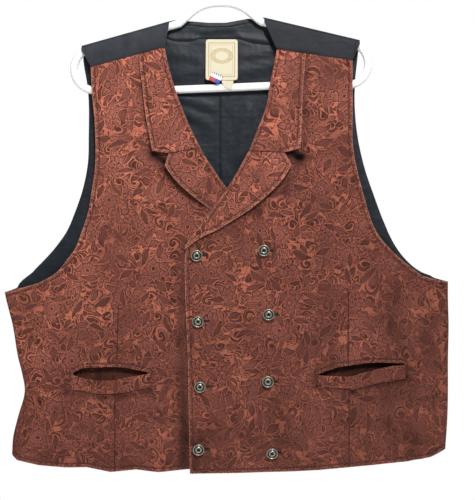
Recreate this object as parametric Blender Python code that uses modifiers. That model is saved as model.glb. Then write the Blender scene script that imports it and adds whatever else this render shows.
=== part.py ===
"""A double-breasted western vest that hangs on a tubular plastic hanger.

Frame: +X to the viewer's right, +Z up, -Y towards the viewer, and the origin where the inside top of
the hook rests on a rail. Sizes are in millimetres and become metres when a mesh is made. Left and
right are the wearer's, so the left front is at +X, and it laps over the right front.

Each cloth piece starts as a four-sided patch, flat in X and Z, between an inner and an outer edge.
Its depth in Y comes from one of two draped surfaces, the vest's front or its back, so that pieces
that lie on each other follow the same form.
"""

import math

import bmesh
import bpy
import numpy as np
from mathutils.bvhtree import BVHTree

METRES = 0.001

# Cloth walls and the gaps between pieces
FRONT_WALL = 2.0
LAPEL_WALL = 2.0
BACK_WALL = 1.2
LINING_WALL = 1.0
WELT_WALL = 1.6
BAG_WALL = 0.8
LABEL_WALL = 0.8
TAB_WALL = 0.6
GAP = 0.3
SEAM_HALF = 0.2
SHOULDER_SEAM = 0.5

# Hanger: a ring of tube with a flat bar, two sloping arms and rounded ends, and a hook
TUBE_RADIUS = 6.0
HOOK_RADIUS = 5.0
HANGER_TILT = math.radians(1.2)
ARM_SLOPE = math.radians(14.5)
ARM_ROOT_X, ARM_ROOT_Z = 62.0, -84.1
BAR_Z = -182.0
END_RADIUS = 32.0
NECK_ARCH = ((50.0, -74.0), (36.0, -63.0), (19.0, -56.0), (0.0, -54.0))
HOOK_BEND_RADIUS = 24.0
HOOK_STEM = ((0.0, -54.0), (0.5, -48.0), (4.0, -43.0))

# Where the back wraps over the hanger's arms
SHOULDER_DEPTH = 9.6
FOLD_RISE = 7.7
WRAP_STEPS = 6

# Side folds, and how far the under layers sit back
SIDE_ROUND = 14.0
SIDE_STRAIGHT = 1.6
UNDERARM_HALF = 0.9
HALF_WIDTH = 333.0
SIDE_FLATTENING, FLATTENING_POWER = 0.66, 2.4
BODY_FULL, BODY_NONE = -290.0, -165.0
LAP_STEP = 5.0
LAP_FROM, LAP_TO = -118.0, -62.0
LAP_NONE, LAP_WHOLE = -300.0, -225.0
COLLAR_NOSE = FRONT_WALL / 2 + GAP + LAPEL_WALL

# How the depth of a panel is read for what lies on it or in it: a ray from this far outside it, and
# how far to each side the panel is also read
RAY_START = 200.0
AROUND_OVER, AROUND_UNDER = 7.0, 12.0

# Depth of the two draped surfaces from the mid-plane: z, front, back
DRAPE = (
    (-60, 9.6, 9.6),
    (-160, 9.8, 9.8),
    (-300, 14.5, 11.4),
    (-480, 19.0, 14.0),
    (-640, 20.5, 15.0),
    (-760, 24.0, 18.0),
)

# Large folds as ridges (height above 0) and troughs: from x, z to x, z, half width, height
FRONT_FOLDS = (
    (-296, -628, -225, -652, 20, 3.5),
    (-294, -655, -232, -722, 20, -3.0),
    (-292, -606, -235, -560, 22, 3.0),
    (-225, -470, -180, -555, 26, 2.5),
    (-120, -350, -105, -545, 30, 2.0),
    (-78, -665, -82, -760, 24, 2.5),
    (120, -380, 118, -560, 30, 2.0),
    (262, -480, 305, -590, 26, 3.0),
    (300, -660, 290, -745, 24, 3.0),
    (115, -665, 108, -755, 24, 2.5),
)
BACK_FOLDS = (
    (-150, -230, -120, -520, 30, 3.0),
    (-60, -360, -72, -700, 28, 2.5),
    (70, -330, 82, -690, 28, 2.5),
    (158, -230, 150, -520, 30, 3.0),
    (-230, -480, -205, -740, 28, 3.5),
    (235, -470, 214, -740, 28, 3.5),
    (-292, -640, -220, -690, 22, 3.0),
)

# Left front, from hem to shoulder seam: outer x, outer z, inner x, inner z
LEFT_FRONT = (
    (340, -724, -43, -758),
    (343, -680, -44, -710),
    (344, -640, -45, -657),
    (344, -591, -46, -597),
    (345, -537, -48, -544),
    (344, -500, -50, -500),
    (344, -473, -51, -462),
    (325, -470, -51, -442),
    (304, -464, -52, -420),
    (280, -446, -34, -397),
    (256, -424, -20, -378),
    (239, -404, -4, -357),
    (227, -380, 13, -332),
    (218, -349, 26, -311),
    (206, -303, 45, -276),
    (200, -265, 58, -244),
    (200, -217, 70, -212),
    (200, -177, 77, -172),
    (200, -142, 86, -125),
)
LEFT_UNDERARM = 6
LEFT_LAPEL_TIP = 8
LEFT_HEM = ((-43, -758), (28, -757), (148, -753), (232, -746), (282, -741), (318, -735), (340, -724))

# Right front, as above; its inner edge is hidden under the left front up to the neck
RIGHT_FRONT = (
    (-311, -732, 81, -752),
    (-309, -705, 81, -710),
    (-302, -676, 81, -680),
    (-292, -638, 81, -642),
    (-296, -610, 81, -608),
    (-302, -587, 81, -578),
    (-310, -539, 81, -537),
    (-320, -499, 81, -496),
    (-322, -489, 81, -484),
    (-302, -484, 81, -454),
    (-269, -475, 81, -423),
    (-240, -457, 58, -393),
    (-226, -439, 44, -374),
    (-215, -424, 28, -354),
    (-204, -396, 11, -332),
    (-195, -368, -2, -314),
    (-190, -337, -14, -296),
    (-185, -301, -28, -273),
    (-185, -253, -42, -244),
    (-187, -222, -53, -218),
    (-190, -193, -65, -186),
    (-191, -170, -75, -152),
    (-192, -152, -81, -122),
)
RIGHT_UNDERARM = 8
RIGHT_LAPEL_TIP = 10
RIGHT_HEM = (
    (81, -752),
    (-45, -752),
    (-89, -756),
    (-123, -752),
    (-161, -756),
    (-197, -749),
    (-228, -750),
    (-269, -747),
    (-302, -740),
    (-311, -732),
)

# Armholes of the back, from underarm to shoulder, and the hem and neck of each half: x, z
CENTRE_BACK = 3.0
CENTRE_HEM = -757.0
RIGHT_BACK_ARMHOLE = (
    (-306, -483),
    (-276, -454),
    (-248, -424),
    (-230, -399),
    (-216, -368),
    (-204, -332),
    (-197, -296),
    (-195, -253),
    (-197, -181),
    (-205, -140),
)
LEFT_BACK_ARMHOLE = (
    (326, -468),
    (302, -457),
    (278, -436),
    (264, -416),
    (249, -384),
    (234, -344),
    (220, -303),
    (209, -253),
    (205, -178),
    (209, -136),
)
RIGHT_BACK_HEM = (
    (3, -757),
    (-80, -758),
    (-150, -755),
    (-228, -753),
    (-269, -748),
    (-302, -740),
    (-311, -732),
)
LEFT_BACK_HEM = ((3, -757), (148, -754), (232, -747), (282, -741), (318, -735), (340, -724))
RIGHT_NECK = ((3, -83.5), (-16, -83.5), (-52, -81), (-68, -79.5))
LEFT_NECK = ((3, -83.5), (10, -83.5), (43, -78), (61, -76))
NECK_STAND = 8.0
SHOULDER_ENDS = {-1: (-75.0, -206.0), 1: (68.0, 211.0)}
FACING_LINE = ((-81, -106), (-62, -111), (-44, -111), (-32, -107), (30, -107), (51, -114), (80, -117))

# Lapels and collars, from their lowest row up: outer x, outer z, inner x, inner z
LEFT_LAPEL = (
    (-51, -425, -50, -419),
    (-28, -407, -41, -405),
    (-4, -396, -28, -389),
    (20, -382, -12, -366),
    (49, -363, 1, -349),
    (74, -342, 13, -332),
    (93, -323, 26, -311),
    (108, -299, 44, -278),
)
LEFT_LAPEL_TOP = ((44, -278), (98, -281), (108, -299))
RIGHT_LAPEL = (
    (8, -380, 32, -358),
    (-3, -372, 21, -345),
    (-12, -366, 11, -332),
    (-30, -352, -2, -314),
    (-46, -339, -8, -304),
    (-61, -325, -14, -296),
    (-71, -313, -22, -283),
    (-80, -300, -28, -273),
)
RIGHT_LAPEL_TOP = ((-28, -273), (-75, -282), (-80, -300))
LEFT_COLLAR = (
    (121, -274, 45, -275.5),
    (123, -241, 58, -244),
    (124, -212, 70, -212),
    (126, -177, 77, -172),
    (128, -152, 82, -148),
    (128, -133, 86, -126),
)
LEFT_GORGE = ((45, -275.5), (98, -278.5), (121, -274))
RIGHT_COLLAR = (
    (-99, -278, -28, -270.5),
    (-105, -246, -42, -244),
    (-110, -218, -53, -218),
    (-114, -183, -65, -186),
    (-118, -154, -75, -152),
    (-119, -134, -81, -123),
)
RIGHT_GORGE = ((-28, -270.5), (-76, -279.5), (-99, -278))
LAPEL_LIFT = 2.6
COLLAR_LIFT = 2.2

# Pockets: the top and foot of each welt from its left end, and the lip of cloth over its mouth
RIGHT_WELT = (
    (-220, -611, -634),
    (-206, -616, -636),
    (-189, -619, -639),
    (-162, -620, -640),
    (-134, -615, -637),
    (-117, -612, -633),
    (-102, -609, -631),
)
RIGHT_LIP = ((-218, -609), (-206, -603), (-183, -601), (-150, -600), (-129, -603), (-104, -608))
LEFT_WELT = (
    (147, -612, -632),
    (180, -614, -631),
    (197, -614, -634),
    (213, -609, -631),
    (230, -605, -626),
    (257, -599, -622),
    (279, -597, -618),
)
LEFT_LIP = ((149, -610), (180, -600), (202, -597), (225, -594), (246, -594), (277, -595.5))
WELT_COLUMNS = 9
WELT_ROWS = (0.0, 0.35, 0.7, 1.0)
WELT_BULGE = 4.0
MOUTH_BEHIND_WELT = 4.0
MOUTH_END_INSET = 2.0
CUTTER_PROUD, CUTTER_LENGTH = 12.0, 30.0
BAG_DEEP = 7.0
BAG_LENGTH = 90.0
BAG_MARGIN = 5.0
BAG_SLOPE = 2.0
BAG_COLUMNS, BAG_ROWS = 8, 6

# Spacing of the points on a front or back: shares of its width from the inner edge, then distances
# from its outer edge
PANEL_SHARES = (0.0, 0.08, 0.16, 0.25, 0.34, 0.43, 0.52, 0.61, 0.7, 0.78, 0.85, 0.91)
NECK_SHARES = (0.0, 0.13, 0.27, 0.355)
SHOULDER_SHARES = (0.385, 0.47, 0.56, 0.65, 0.74, 0.83, 0.91)
SHOULDER_POINTS = 9
SIDE_DISTANCES = (14.0, 7.0, 2.3, 0.0, 0.0)
ARMHOLE_DISTANCES = (11.0, 7.0, 4.0, 1.8, 0.0)
ROOM_AT_OUTER_EDGE = 1.6

# Spacing of the points on a lapel or collar: turns of its rolled edge, then shares of its width
NOSE_TURNS = (0.0, 45.0, 90.0)
WIDEST_NOSE = 0.4
LAPEL_SHARES = (0.12, 0.35, 0.6, 0.85, 1.0)

# Lining of the back and the band that faces its neck
LINING_COLUMNS = 8
LINING_SIDE_INSET = 17.0
LINING_HEM_RISE = 15.0
LINING_EASE = 0.4
LINING_BELOW_FACING = 0.5
LINING_BELOW_ARM = 1.0
LINING_STEP_OUT = 7.0
LINING_ARMHOLE_INSET = 1.5
FACING_COLUMNS = 10
FACING_END_INSET = 6.0
FACING_BELOW_EDGE = 1.0

# Buttons: x, z and how far each one is tipped down
BUTTONS = (
    (-33, -433, 13),
    (-31, -531, 14),
    (-28, -628, 13),
    (-30, -721, 12),
    (67, -426, 6),
    (74, -521, 8),
    (73, -621, 5),
    (79, -726, 18),
)
# A button's turned section, from its crown down to its shank: radius, height
BUTTON_SECTION = (
    (0.0, 5.1),
    (2.6, 5.1),
    (3.3, 6.3),
    (4.7, 6.3),
    (5.3, 5.4),
    (6.6, 5.4),
    (7.4, 6.6),
    (8.3, 6.6),
    (8.75, 5.6),
    (8.2, 4.2),
    (3.0, 3.4),
    (2.6, 0.0),
    (0.0, 0.0),
)
BUTTON_SHANK_RADIUS = 2.6
BUTTON_SIDES = 12

# Labels at the back neck: the main one leans forward as it hangs
LABEL_LEFT_X, LABEL_RIGHT_X = -20.0, 28.0
LABEL_TOP_Z, LABEL_FOOT_Z = -109.0, -171.0
LABEL_TOP_Y, LABEL_FOOT_Y = 5.3, -6.4
LABEL_COLUMNS, LABEL_ROWS = 5, 6
SIZE_TAB = ((4, 22, -168, -4.6), (4.5, 21.5, -176, -6.3), (8, 18, -184, -7.0))
RIBBON_CENTRE = (-5.0, -168.0)
RIBBON_SIZE = (17.0, 14.0)
RIBBON_TURN = math.radians(-25)
RIBBON_PROUD = 0.9

# Finishes: base colour (linear), roughness, metallic
FINISHES = {
    "rust_floral_twill": ((0.24, 0.065, 0.036), 0.75, 0.0),
    "charcoal_cloth": ((0.045, 0.052, 0.062), 0.8, 0.0),
    "charcoal_lining": ((0.028, 0.034, 0.042), 0.5, 0.0),
    "aged_nickel": ((0.45, 0.43, 0.39), 0.4, 1.0),
    "cream_label": ((0.80, 0.68, 0.42), 0.8, 0.0),
    "woven_ribbon": ((0.60, 0.20, 0.25), 0.8, 0.0),
    "white_plastic": ((0.86, 0.86, 0.85), 0.3, 0.0),
}


def smooth_step(low, high, value):
    """Return 0 below low, 1 above high, and a soft rise between."""
    share = np.clip((np.asarray(value, dtype=float) - low) / (high - low), 0.0, 1.0)
    return share * share * (3.0 - 2.0 * share)


def curve_through(knots, points, corners=()):
    """Return a function that gives the smooth curve through points at knots, sharp at corners."""
    knots = np.asarray(knots, dtype=float)
    points = np.asarray(points, dtype=float)
    steps = np.diff(knots)[:, None]
    chords = np.diff(points, axis=0) / steps
    leaving, arriving = chords.copy(), chords.copy()
    for row in range(1, len(knots) - 1):
        if row not in corners:
            total = steps[row - 1] + steps[row]
            slope = (chords[row - 1] * steps[row] + chords[row] * steps[row - 1]) / total
            arriving[row - 1] = slope
            leaving[row] = slope

    def at(values):
        values = np.asarray(values, dtype=float)
        span = np.clip(np.searchsorted(knots, values, side="right") - 1, 0, len(knots) - 2)
        step = steps[span]
        u = ((values - knots[span])[..., None]) / step
        start, end = points[span], points[span + 1]
        return (
            start * (1 + 2 * u) * (1 - u) ** 2
            + leaving[span] * step * u * (1 - u) ** 2
            + end * u * u * (3 - 2 * u)
            + arriving[span] * step * u * u * (u - 1)
        )

    return at


def corner_shares(points):
    """Return how far along a line of points each point lies, as a share of its length."""
    lengths = np.linalg.norm(np.diff(np.asarray(points, dtype=float), axis=0), axis=1)
    return np.concatenate(([0.0], np.cumsum(lengths))) / lengths.sum()


def shares_with_corners(points, count):
    """Return even shares along a line, with each of its corners in place of the nearest one."""
    corners = corner_shares(points)
    even = np.linspace(0.0, 1.0, count + 1)
    even = [share for share in even if np.abs(corners - share).min() > 0.5 / count]
    return np.sort(np.concatenate((corners, even)))


def along(points):
    """Return a function that gives the point at a share of the length of a line through points."""
    points = np.asarray(points, dtype=float)
    shares = corner_shares(points)

    def at(share):
        return np.stack([np.interp(share, shares, points[:, axis]) for axis in (0, 1)], axis=-1)

    return at


class Patch:
    """A four-sided stretch of cloth in X and Z, between an inner and an outer edge."""

    def __init__(self, rows, low=None, high=None, corners=()):
        rows = np.asarray(rows, dtype=float)
        outer, inner = rows[:, :2], rows[:, 2:]
        steps = sum(np.linalg.norm(np.diff(edge, axis=0), axis=1) for edge in (outer, inner))
        self.knots = np.concatenate(([0.0], np.cumsum(steps))) / steps.sum()
        self.outer = curve_through(self.knots, outer, corners)
        self.inner = curve_through(self.knots, inner, corners)
        self.low = along(low) if low else along((inner[0], outer[0]))
        self.high = along(high) if high else along((inner[-1], outer[-1]))

    def width(self, up):
        """Return the distance from edge to edge at each height."""
        return np.linalg.norm(self.outer(up) - self.inner(up), axis=-1)

    def grid(self, across, up):
        """Return X and Z for shares across (a row for each height) and shares up."""
        share = np.broadcast_to(across, (len(up), np.shape(across)[-1]))[..., None]
        height = np.asarray(up)[:, None, None]
        ruled = (1 - share) * self.inner(up)[:, None] + share * self.outer(up)[:, None]
        first = (1 - share) * self.inner(0.0) + share * self.outer(0.0)
        last = (1 - share) * self.inner(1.0) + share * self.outer(1.0)
        low_part = (self.low(share[..., 0]) - first) * (1 - height) ** 4
        high_part = (self.high(share[..., 0]) - last) * height**3
        return ruled + low_part + high_part


def fold_height(x, z, folds):
    """Return the sum of the folds at a place: each is a soft ridge along a straight line."""
    total = np.zeros(np.shape(x))
    for x0, z0, x1, z1, half_width, height in folds:
        run = np.array((x1 - x0, z1 - z0), dtype=float)
        share = np.clip(((x - x0) * run[0] + (z - z0) * run[1]) / (run @ run), 0.0, 1.0)
        away = np.hypot(x - x0 - share * run[0], z - z0 - share * run[1])
        total += height * np.exp(-((away / half_width) ** 2))
    return total


def draped_depth(x, z, back=False):
    """Return how far the outside of the cloth lies from the mid-plane, away from the side folds."""
    x, z = np.asarray(x, dtype=float), np.asarray(z, dtype=float)
    heights, front_depths, back_depths = np.array(DRAPE)[::-1].T
    depth = np.interp(z, heights, back_depths if back else front_depths)
    depth = depth * (1 - SIDE_FLATTENING * np.abs(x / HALF_WIDTH) ** FLATTENING_POWER)
    depth = depth + fold_height(x, z, BACK_FOLDS if back else FRONT_FOLDS)
    body = 1 - smooth_step(BODY_FULL, BODY_NONE, z)
    return SHOULDER_DEPTH + (depth - SHOULDER_DEPTH) * body


def right_front_depth(x, z):
    """Return the depth of the right front, which steps back where the left front covers it."""
    below_neck = 1 - smooth_step(LAP_NONE, LAP_WHOLE, z)
    return draped_depth(x, z) - LAP_STEP * smooth_step(LAP_FROM, LAP_TO, x) * below_neck


def rounded_at_side(depth, from_side, end):
    """Return the depth turned in over the side fold, down to end at the side itself."""
    share = np.clip(from_side / SIDE_ROUND, 0.0, 1.0)
    return end + (depth - end) * np.sqrt(1 - (1 - share) ** 2)


def finish(name):
    """Return the material of that name, made once from the table of finishes."""
    material = bpy.data.materials.get(name)
    if material is None:
        colour, roughness, metallic = FINISHES[name]
        material = bpy.data.materials.new(name)
        material.use_nodes = True
        shader = material.node_tree.nodes["Principled BSDF"]
        shader.inputs["Base Color"].default_value = (*colour, 1.0)
        shader.inputs["Roughness"].default_value = roughness
        shader.inputs["Metallic"].default_value = metallic
    return material


def add_object(name, mesh, collection, material):
    """Put a mesh in the collection as an object with a material of its own."""
    piece = bpy.data.objects.new(name, mesh)
    collection.objects.link(piece)
    own = finish(material).copy()
    own.name = name + "_" + material
    mesh.materials.clear()
    mesh.materials.append(own)
    return piece


def cloth(name, points, wall, towards, collection, material, keep=None):
    """Make a wall of cloth from a grid of points on its outside; towards is the sign of its Y side."""
    rows, columns = points.shape[:2]
    mesh = bpy.data.meshes.new(name)
    shape = bmesh.new()
    verts = {}

    def vert(row, column):
        if (row, column) not in verts:
            verts[row, column] = shape.verts.new(points[row, column] * METRES)
        return verts[row, column]

    for row in range(rows - 1):
        for column in range(columns - 1):
            if keep is None or keep(row, column):
                corners = ((row, column), (row, column + 1), (row + 1, column + 1), (row + 1, column))
                shape.faces.new([vert(*corner) for corner in corners])
    shape.normal_update()
    if sum(face.normal.y * face.calc_area() for face in shape.faces) * towards < 0:
        bmesh.ops.reverse_faces(shape, faces=shape.faces)
    shape.to_mesh(mesh)
    shape.free()
    piece = add_object(name, mesh, collection, material)
    solidify = piece.modifiers.new("wall", "SOLIDIFY")
    solidify.thickness = wall * METRES
    solidify.offset = -1.0
    mesh.shade_smooth()
    return piece


class Draped:
    """The faceted outside of a panel, which gives the depth that another piece lies at."""

    NEIGHBOURS = ((0.0, 0.0), (1.0, 0.0), (-1.0, 0.0), (0.0, 1.0), (0.0, -1.0))

    def __init__(self, panel, towards, smooth):
        mesh = panel.data
        self.tree = BVHTree.FromPolygons(
            [vert.co for vert in mesh.vertices], [tuple(face.vertices) for face in mesh.polygons]
        )
        self.towards = towards
        self.smooth = smooth

    def depth(self, x, z, around, pick):
        """Return the panel's depth at places in X and Z, the one that pick chooses from those around."""
        start = self.towards * RAY_START * METRES
        result = np.empty(np.shape(x))
        for index in np.ndindex(result.shape):
            found = []
            for step_x, step_z in self.NEIGHBOURS:
                place_x, place_z = x[index] + step_x * around, z[index] + step_z * around
                origin = (place_x * METRES, start, place_z * METRES)
                place = self.tree.ray_cast(origin, (0.0, -self.towards, 0.0))[0]
                if place is not None:
                    found.append(place.y * self.towards / METRES)
            if not found:
                found = [float(self.smooth(x[index], z[index]))]
            result[index] = pick(found)
        return result

    def over(self, x, z):
        """Return a depth that lies on the panel."""
        return self.depth(np.asarray(x, dtype=float), np.asarray(z, dtype=float), AROUND_OVER, max)

    def under(self, x, z):
        """Return a depth that lies inside the panel."""
        return self.depth(np.asarray(x, dtype=float), np.asarray(z, dtype=float), AROUND_UNDER, min)


def with_depth(flat, depth):
    """Return points in X, Y and Z from a flat grid and its Y values."""
    return np.stack((flat[..., 0], depth, flat[..., 1]), axis=-1)


def panel_columns(patch, underarm, shares):
    """Return the shares across for every row of a panel, closer together at its outer edge."""
    rows = []
    for row, width in enumerate(patch.width(patch.knots)):
        distances = np.array(SIDE_DISTANCES if row <= underarm else ARMHOLE_DISTANCES)
        room = 1 - ROOM_AT_OUTER_EDGE * distances[0] / width
        squeezed = np.array(shares) * min(1.0, room / shares[-1])
        rows.append(np.concatenate((squeezed, 1 - distances / width)))
    return np.array(rows)


def panel_depth(patch, flat, underarm, depth):
    """Return a panel's depth with its side fold rounded; the last column stands on the side seam."""
    side_x = patch.outer(patch.knots[np.minimum(np.arange(len(flat)), underarm)])[:, 0]
    from_side = np.abs(side_x[:, None] - flat[..., 0])
    rounded = rounded_at_side(depth, from_side, SIDE_STRAIGHT)
    rounded[:underarm, -1] = SEAM_HALF
    rounded[underarm, -1] = UNDERARM_HALF
    return rounded


def crossing(rows, first):
    """Return, for each row from first up, the sine of the angle between the row and its inner edge."""
    inner = np.array([row[2:] for row in rows], dtype=float)[first:]
    edge = np.gradient(inner, axis=0)
    edge /= np.linalg.norm(edge, axis=1)[:, None]
    level = np.array([(row[0] - row[2], row[1] - row[3]) for row in rows], dtype=float)[first:]
    level /= np.linalg.norm(level, axis=1)[:, None]
    return np.abs(edge[:, 0] * level[:, 1] - edge[:, 1] * level[:, 0])


def pulled_back(rows, first, distance):
    """Return panel rows whose inner edge, from row first up, is moved in to make room for a lapel."""
    moved = [list(row) for row in rows]
    for row, sine in zip(moved[first:], crossing(rows, first)):
        level = np.array((row[0] - row[2], row[1] - row[3]))
        step = level / np.linalg.norm(level) * distance / sine
        row[2] += step[0]
        row[3] += step[1]
    return moved


def mouth_cutter(name, welt, lip, collection):
    """Make the prism that cuts a pocket's mouth, from the lip down to just behind the welt's top."""
    foot = [(x, top - MOUTH_BEHIND_WELT) for x, top, _ in welt]
    foot[0] = (lip[0][0] + MOUTH_END_INSET, foot[0][1])
    foot[-1] = (lip[-1][0] - MOUTH_END_INSET, foot[-1][1])
    outline = list(lip) + foot[::-1]
    shape = bmesh.new()
    middle = welt[len(welt) // 2]
    near = float(draped_depth(middle[0], middle[1])) + CUTTER_PROUD
    face = shape.faces.new([shape.verts.new((x * METRES, -near * METRES, z * METRES)) for x, z in outline])
    swept = bmesh.ops.extrude_face_region(shape, geom=[face])
    moved = [item for item in swept["geom"] if isinstance(item, bmesh.types.BMVert)]
    bmesh.ops.translate(shape, verts=moved, vec=(0.0, CUTTER_LENGTH * METRES, 0.0))
    bmesh.ops.recalc_face_normals(shape, faces=shape.faces)
    mesh = bpy.data.meshes.new(name)
    shape.to_mesh(mesh)
    shape.free()
    cutter = bpy.data.objects.new(name, mesh)
    collection.objects.link(cutter)
    cutter.hide_render = True
    cutter.display_type = "WIRE"
    return cutter


def cut(piece, cutter):
    """Cut one object out of another."""
    boolean = piece.modifiers.new("mouth", "BOOLEAN")
    boolean.operation = "DIFFERENCE"
    boolean.solver = "EXACT"
    boolean.object = cutter


def build_front(name, rows, hem, underarm, tip, depth_of, collection):
    """Make one front panel, its inner edge pulled back along the neck for the lapel's roll."""
    patch = Patch(pulled_back(rows, tip, COLLAR_NOSE), low=hem, corners=(underarm, tip))
    flat = patch.grid(panel_columns(patch, underarm, PANEL_SHARES), patch.knots)
    depth = panel_depth(patch, flat, underarm, depth_of(flat[..., 0], flat[..., 1]))
    return cloth(name, with_depth(flat, -depth), FRONT_WALL, -1, collection, "rust_floral_twill")


def arm_axis(x):
    """Return the height of the hanger arm's axis at x, with the hanger tilted."""
    side = np.sign(x)
    root_x = side * ARM_ROOT_X * math.cos(HANGER_TILT) - ARM_ROOT_Z * math.sin(HANGER_TILT)
    root_z = side * ARM_ROOT_X * math.sin(HANGER_TILT) + ARM_ROOT_Z * math.cos(HANGER_TILT)
    return root_z - np.tan(ARM_SLOPE - side * HANGER_TILT) * (np.abs(x) - np.abs(root_x))


def back_rows(front, underarm, armhole, side, top):
    """Return a back half's rows: the front's side below the underarm, then its own armhole.

    top is the height of its centre seam.
    """
    outer = [row[:2] for row in front[: underarm + 1]] + list(armhole)
    end_x = SHOULDER_ENDS[side][1]
    outer.append((end_x, float(arm_axis(end_x))))
    hem = outer[0][1]
    bottom = CENTRE_HEM
    heights = [bottom + (top - bottom) * (point[1] - hem) / (outer[-1][1] - hem) for point in outer]
    return [(x, z, CENTRE_BACK + side * SEAM_HALF, height) for (x, z), height in zip(outer, heights)]


def back_top(neck, side):
    """Return the line where a back half's flat part ends: under the neck edge, then the hanger arm."""
    inner_end, outer_end = SHOULDER_ENDS[side]
    neck_part = along([(x, z - NECK_STAND) for x, z in neck])
    shoulder_part = along([(x, float(arm_axis(x))) for x in (inner_end, outer_end)])
    neck_points = [tuple(neck_part(share / NECK_SHARES[-1])) for share in NECK_SHARES]
    shoulder_points = [tuple(shoulder_part(share)) for share in np.linspace(0.0, 1.0, SHOULDER_POINTS)]
    return neck_points + shoulder_points


def build_back(name, side, front, underarm, armhole, hem, neck, seam, collection):
    """Make one back half: up the back, over the hanger's arm and down to the front's shoulder seam."""
    hem = [(CENTRE_BACK + side * SEAM_HALF, hem[0][1]), *hem[1:]]
    neck = [(CENTRE_BACK + side * SEAM_HALF, neck[0][1]), *neck[1:]]
    rows = back_rows(front, underarm, armhole, side, neck[0][1] - NECK_STAND)
    patch = Patch(rows, low=hem, corners=(underarm,))
    patch.high = column_line(back_top(neck, side))
    shares = np.array(NECK_SHARES + SHOULDER_SHARES)
    across = panel_columns(patch, underarm, shares)
    flat = patch.grid(across, patch.knots)
    depth = panel_depth(patch, flat, underarm, draped_depth(flat[..., 0], flat[..., 1], back=True))
    body = with_depth(flat, depth)
    top_row = body[-1]
    corner = len(NECK_SHARES)
    neck_edge = along(neck)
    seam_line = along(seam)
    reach = np.clip((across[-1] - shares[corner]) / (1 - shares[corner]), 0.0, 1.0)
    wrap = []
    for step in range(1, WRAP_STEPS + 1):
        turn = math.pi * step / WRAP_STEPS
        row = top_row.copy()
        row[corner:, 1] = SHOULDER_DEPTH * math.cos(turn)
        row[corner:, 2] += FOLD_RISE * math.sin(turn)
        rise = neck_edge(shares[:corner] / NECK_SHARES[-1])[:, 1] - top_row[:corner, 2]
        row[:corner, 2] += rise * math.sin(min(turn, math.pi / 2))
        wrap.append(row)
    last = wrap[-1]
    for share in (0.5, 1.0):
        row = last.copy()
        goal = seam_line(reach)
        row[corner:, 0] += (goal[corner:, 0] - last[corner:, 0]) * share
        row[corner:, 2] += (goal[corner:, 1] - last[corner:, 2]) * share
        wrap.append(row)
    points = np.concatenate((body, np.array(wrap)))
    first_front_row = len(body) - 1 + WRAP_STEPS // 2

    def keep(row, column):
        return row < first_front_row or column >= corner

    return cloth(name, points, BACK_WALL, 1, collection, "charcoal_cloth", keep)


def column_line(points):
    """Return a function that puts the back's top line on its columns, neck part and shoulder part."""
    points = np.asarray(points, dtype=float)
    neck_count = len(NECK_SHARES)
    first = SHOULDER_SHARES[0]
    shares = np.concatenate((NECK_SHARES, np.linspace(first, 1.0, len(points) - neck_count)))

    def at(share):
        return np.stack([np.interp(share, shares, points[:, axis]) for axis in (0, 1)], axis=-1)

    return at


def build_lining(name, side, front, underarm, armhole, shell, collection):
    """Make one half of the back's lining, just inside the back and clear of its side fold."""
    line = sorted((x * side, z) for x, z in FACING_LINE if x * side > CENTRE_BACK * side)
    top = line[0][1] - LINING_BELOW_FACING
    inner_end, outer_end = SHOULDER_ENDS[side]
    high = [(CENTRE_BACK + side * SEAM_HALF, top)]
    high += [(x * side, z - LINING_BELOW_FACING) for x, z in line]
    for x in (high[-1][0] + side * LINING_STEP_OUT, outer_end - side * LINING_ARMHOLE_INSET):
        high.append((x, float(arm_axis(x)) - LINING_BELOW_ARM))
    rows = []
    for index, (x, z, inner_x, inner_z) in enumerate(back_rows(front, underarm, armhole, side, top)):
        inset = LINING_SIDE_INSET if index <= underarm else LINING_ARMHOLE_INSET
        rows.append((x - side * inset, z, inner_x, inner_z))
    rows[0] = (rows[0][0], rows[0][1] + LINING_HEM_RISE, rows[0][2], rows[0][3] + LINING_HEM_RISE)
    rows[-1] = (*high[-1], *high[0])
    patch = Patch(rows, corners=(underarm,), high=high)
    up = patch.knots[np.array([0, 2, 4, *range(underarm, len(rows))])]
    flat = patch.grid(shares_with_corners(high, LINING_COLUMNS), up)
    depth = shell.under(flat[..., 0], flat[..., 1]) - BACK_WALL - GAP - LINING_EASE
    return cloth(name, with_depth(flat, depth), LINING_WALL, 1, collection, "charcoal_lining")


def build_facing(collection):
    """Make the band that faces the back neck, from its stitched line up to the neck edge."""
    edge = np.array(RIGHT_NECK[::-1] + LEFT_NECK[1:])
    edge[0, 0] += FACING_END_INSET
    edge[-1, 0] -= FACING_END_INSET
    low, high = along(FACING_LINE), along(edge - np.array((0.0, FACING_BELOW_EDGE)))
    shares = shares_with_corners(FACING_LINE, FACING_COLUMNS)
    lowest, highest = low(shares), high(shares)
    flat = np.array([lowest + (highest - lowest) * up for up in (0.0, 0.5, 1.0)])
    depth = draped_depth(flat[..., 0], flat[..., 1], back=True) - BACK_WALL - GAP
    return cloth("neck_facing", with_depth(flat, depth), LINING_WALL, 1, collection, "charcoal_lining")


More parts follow.
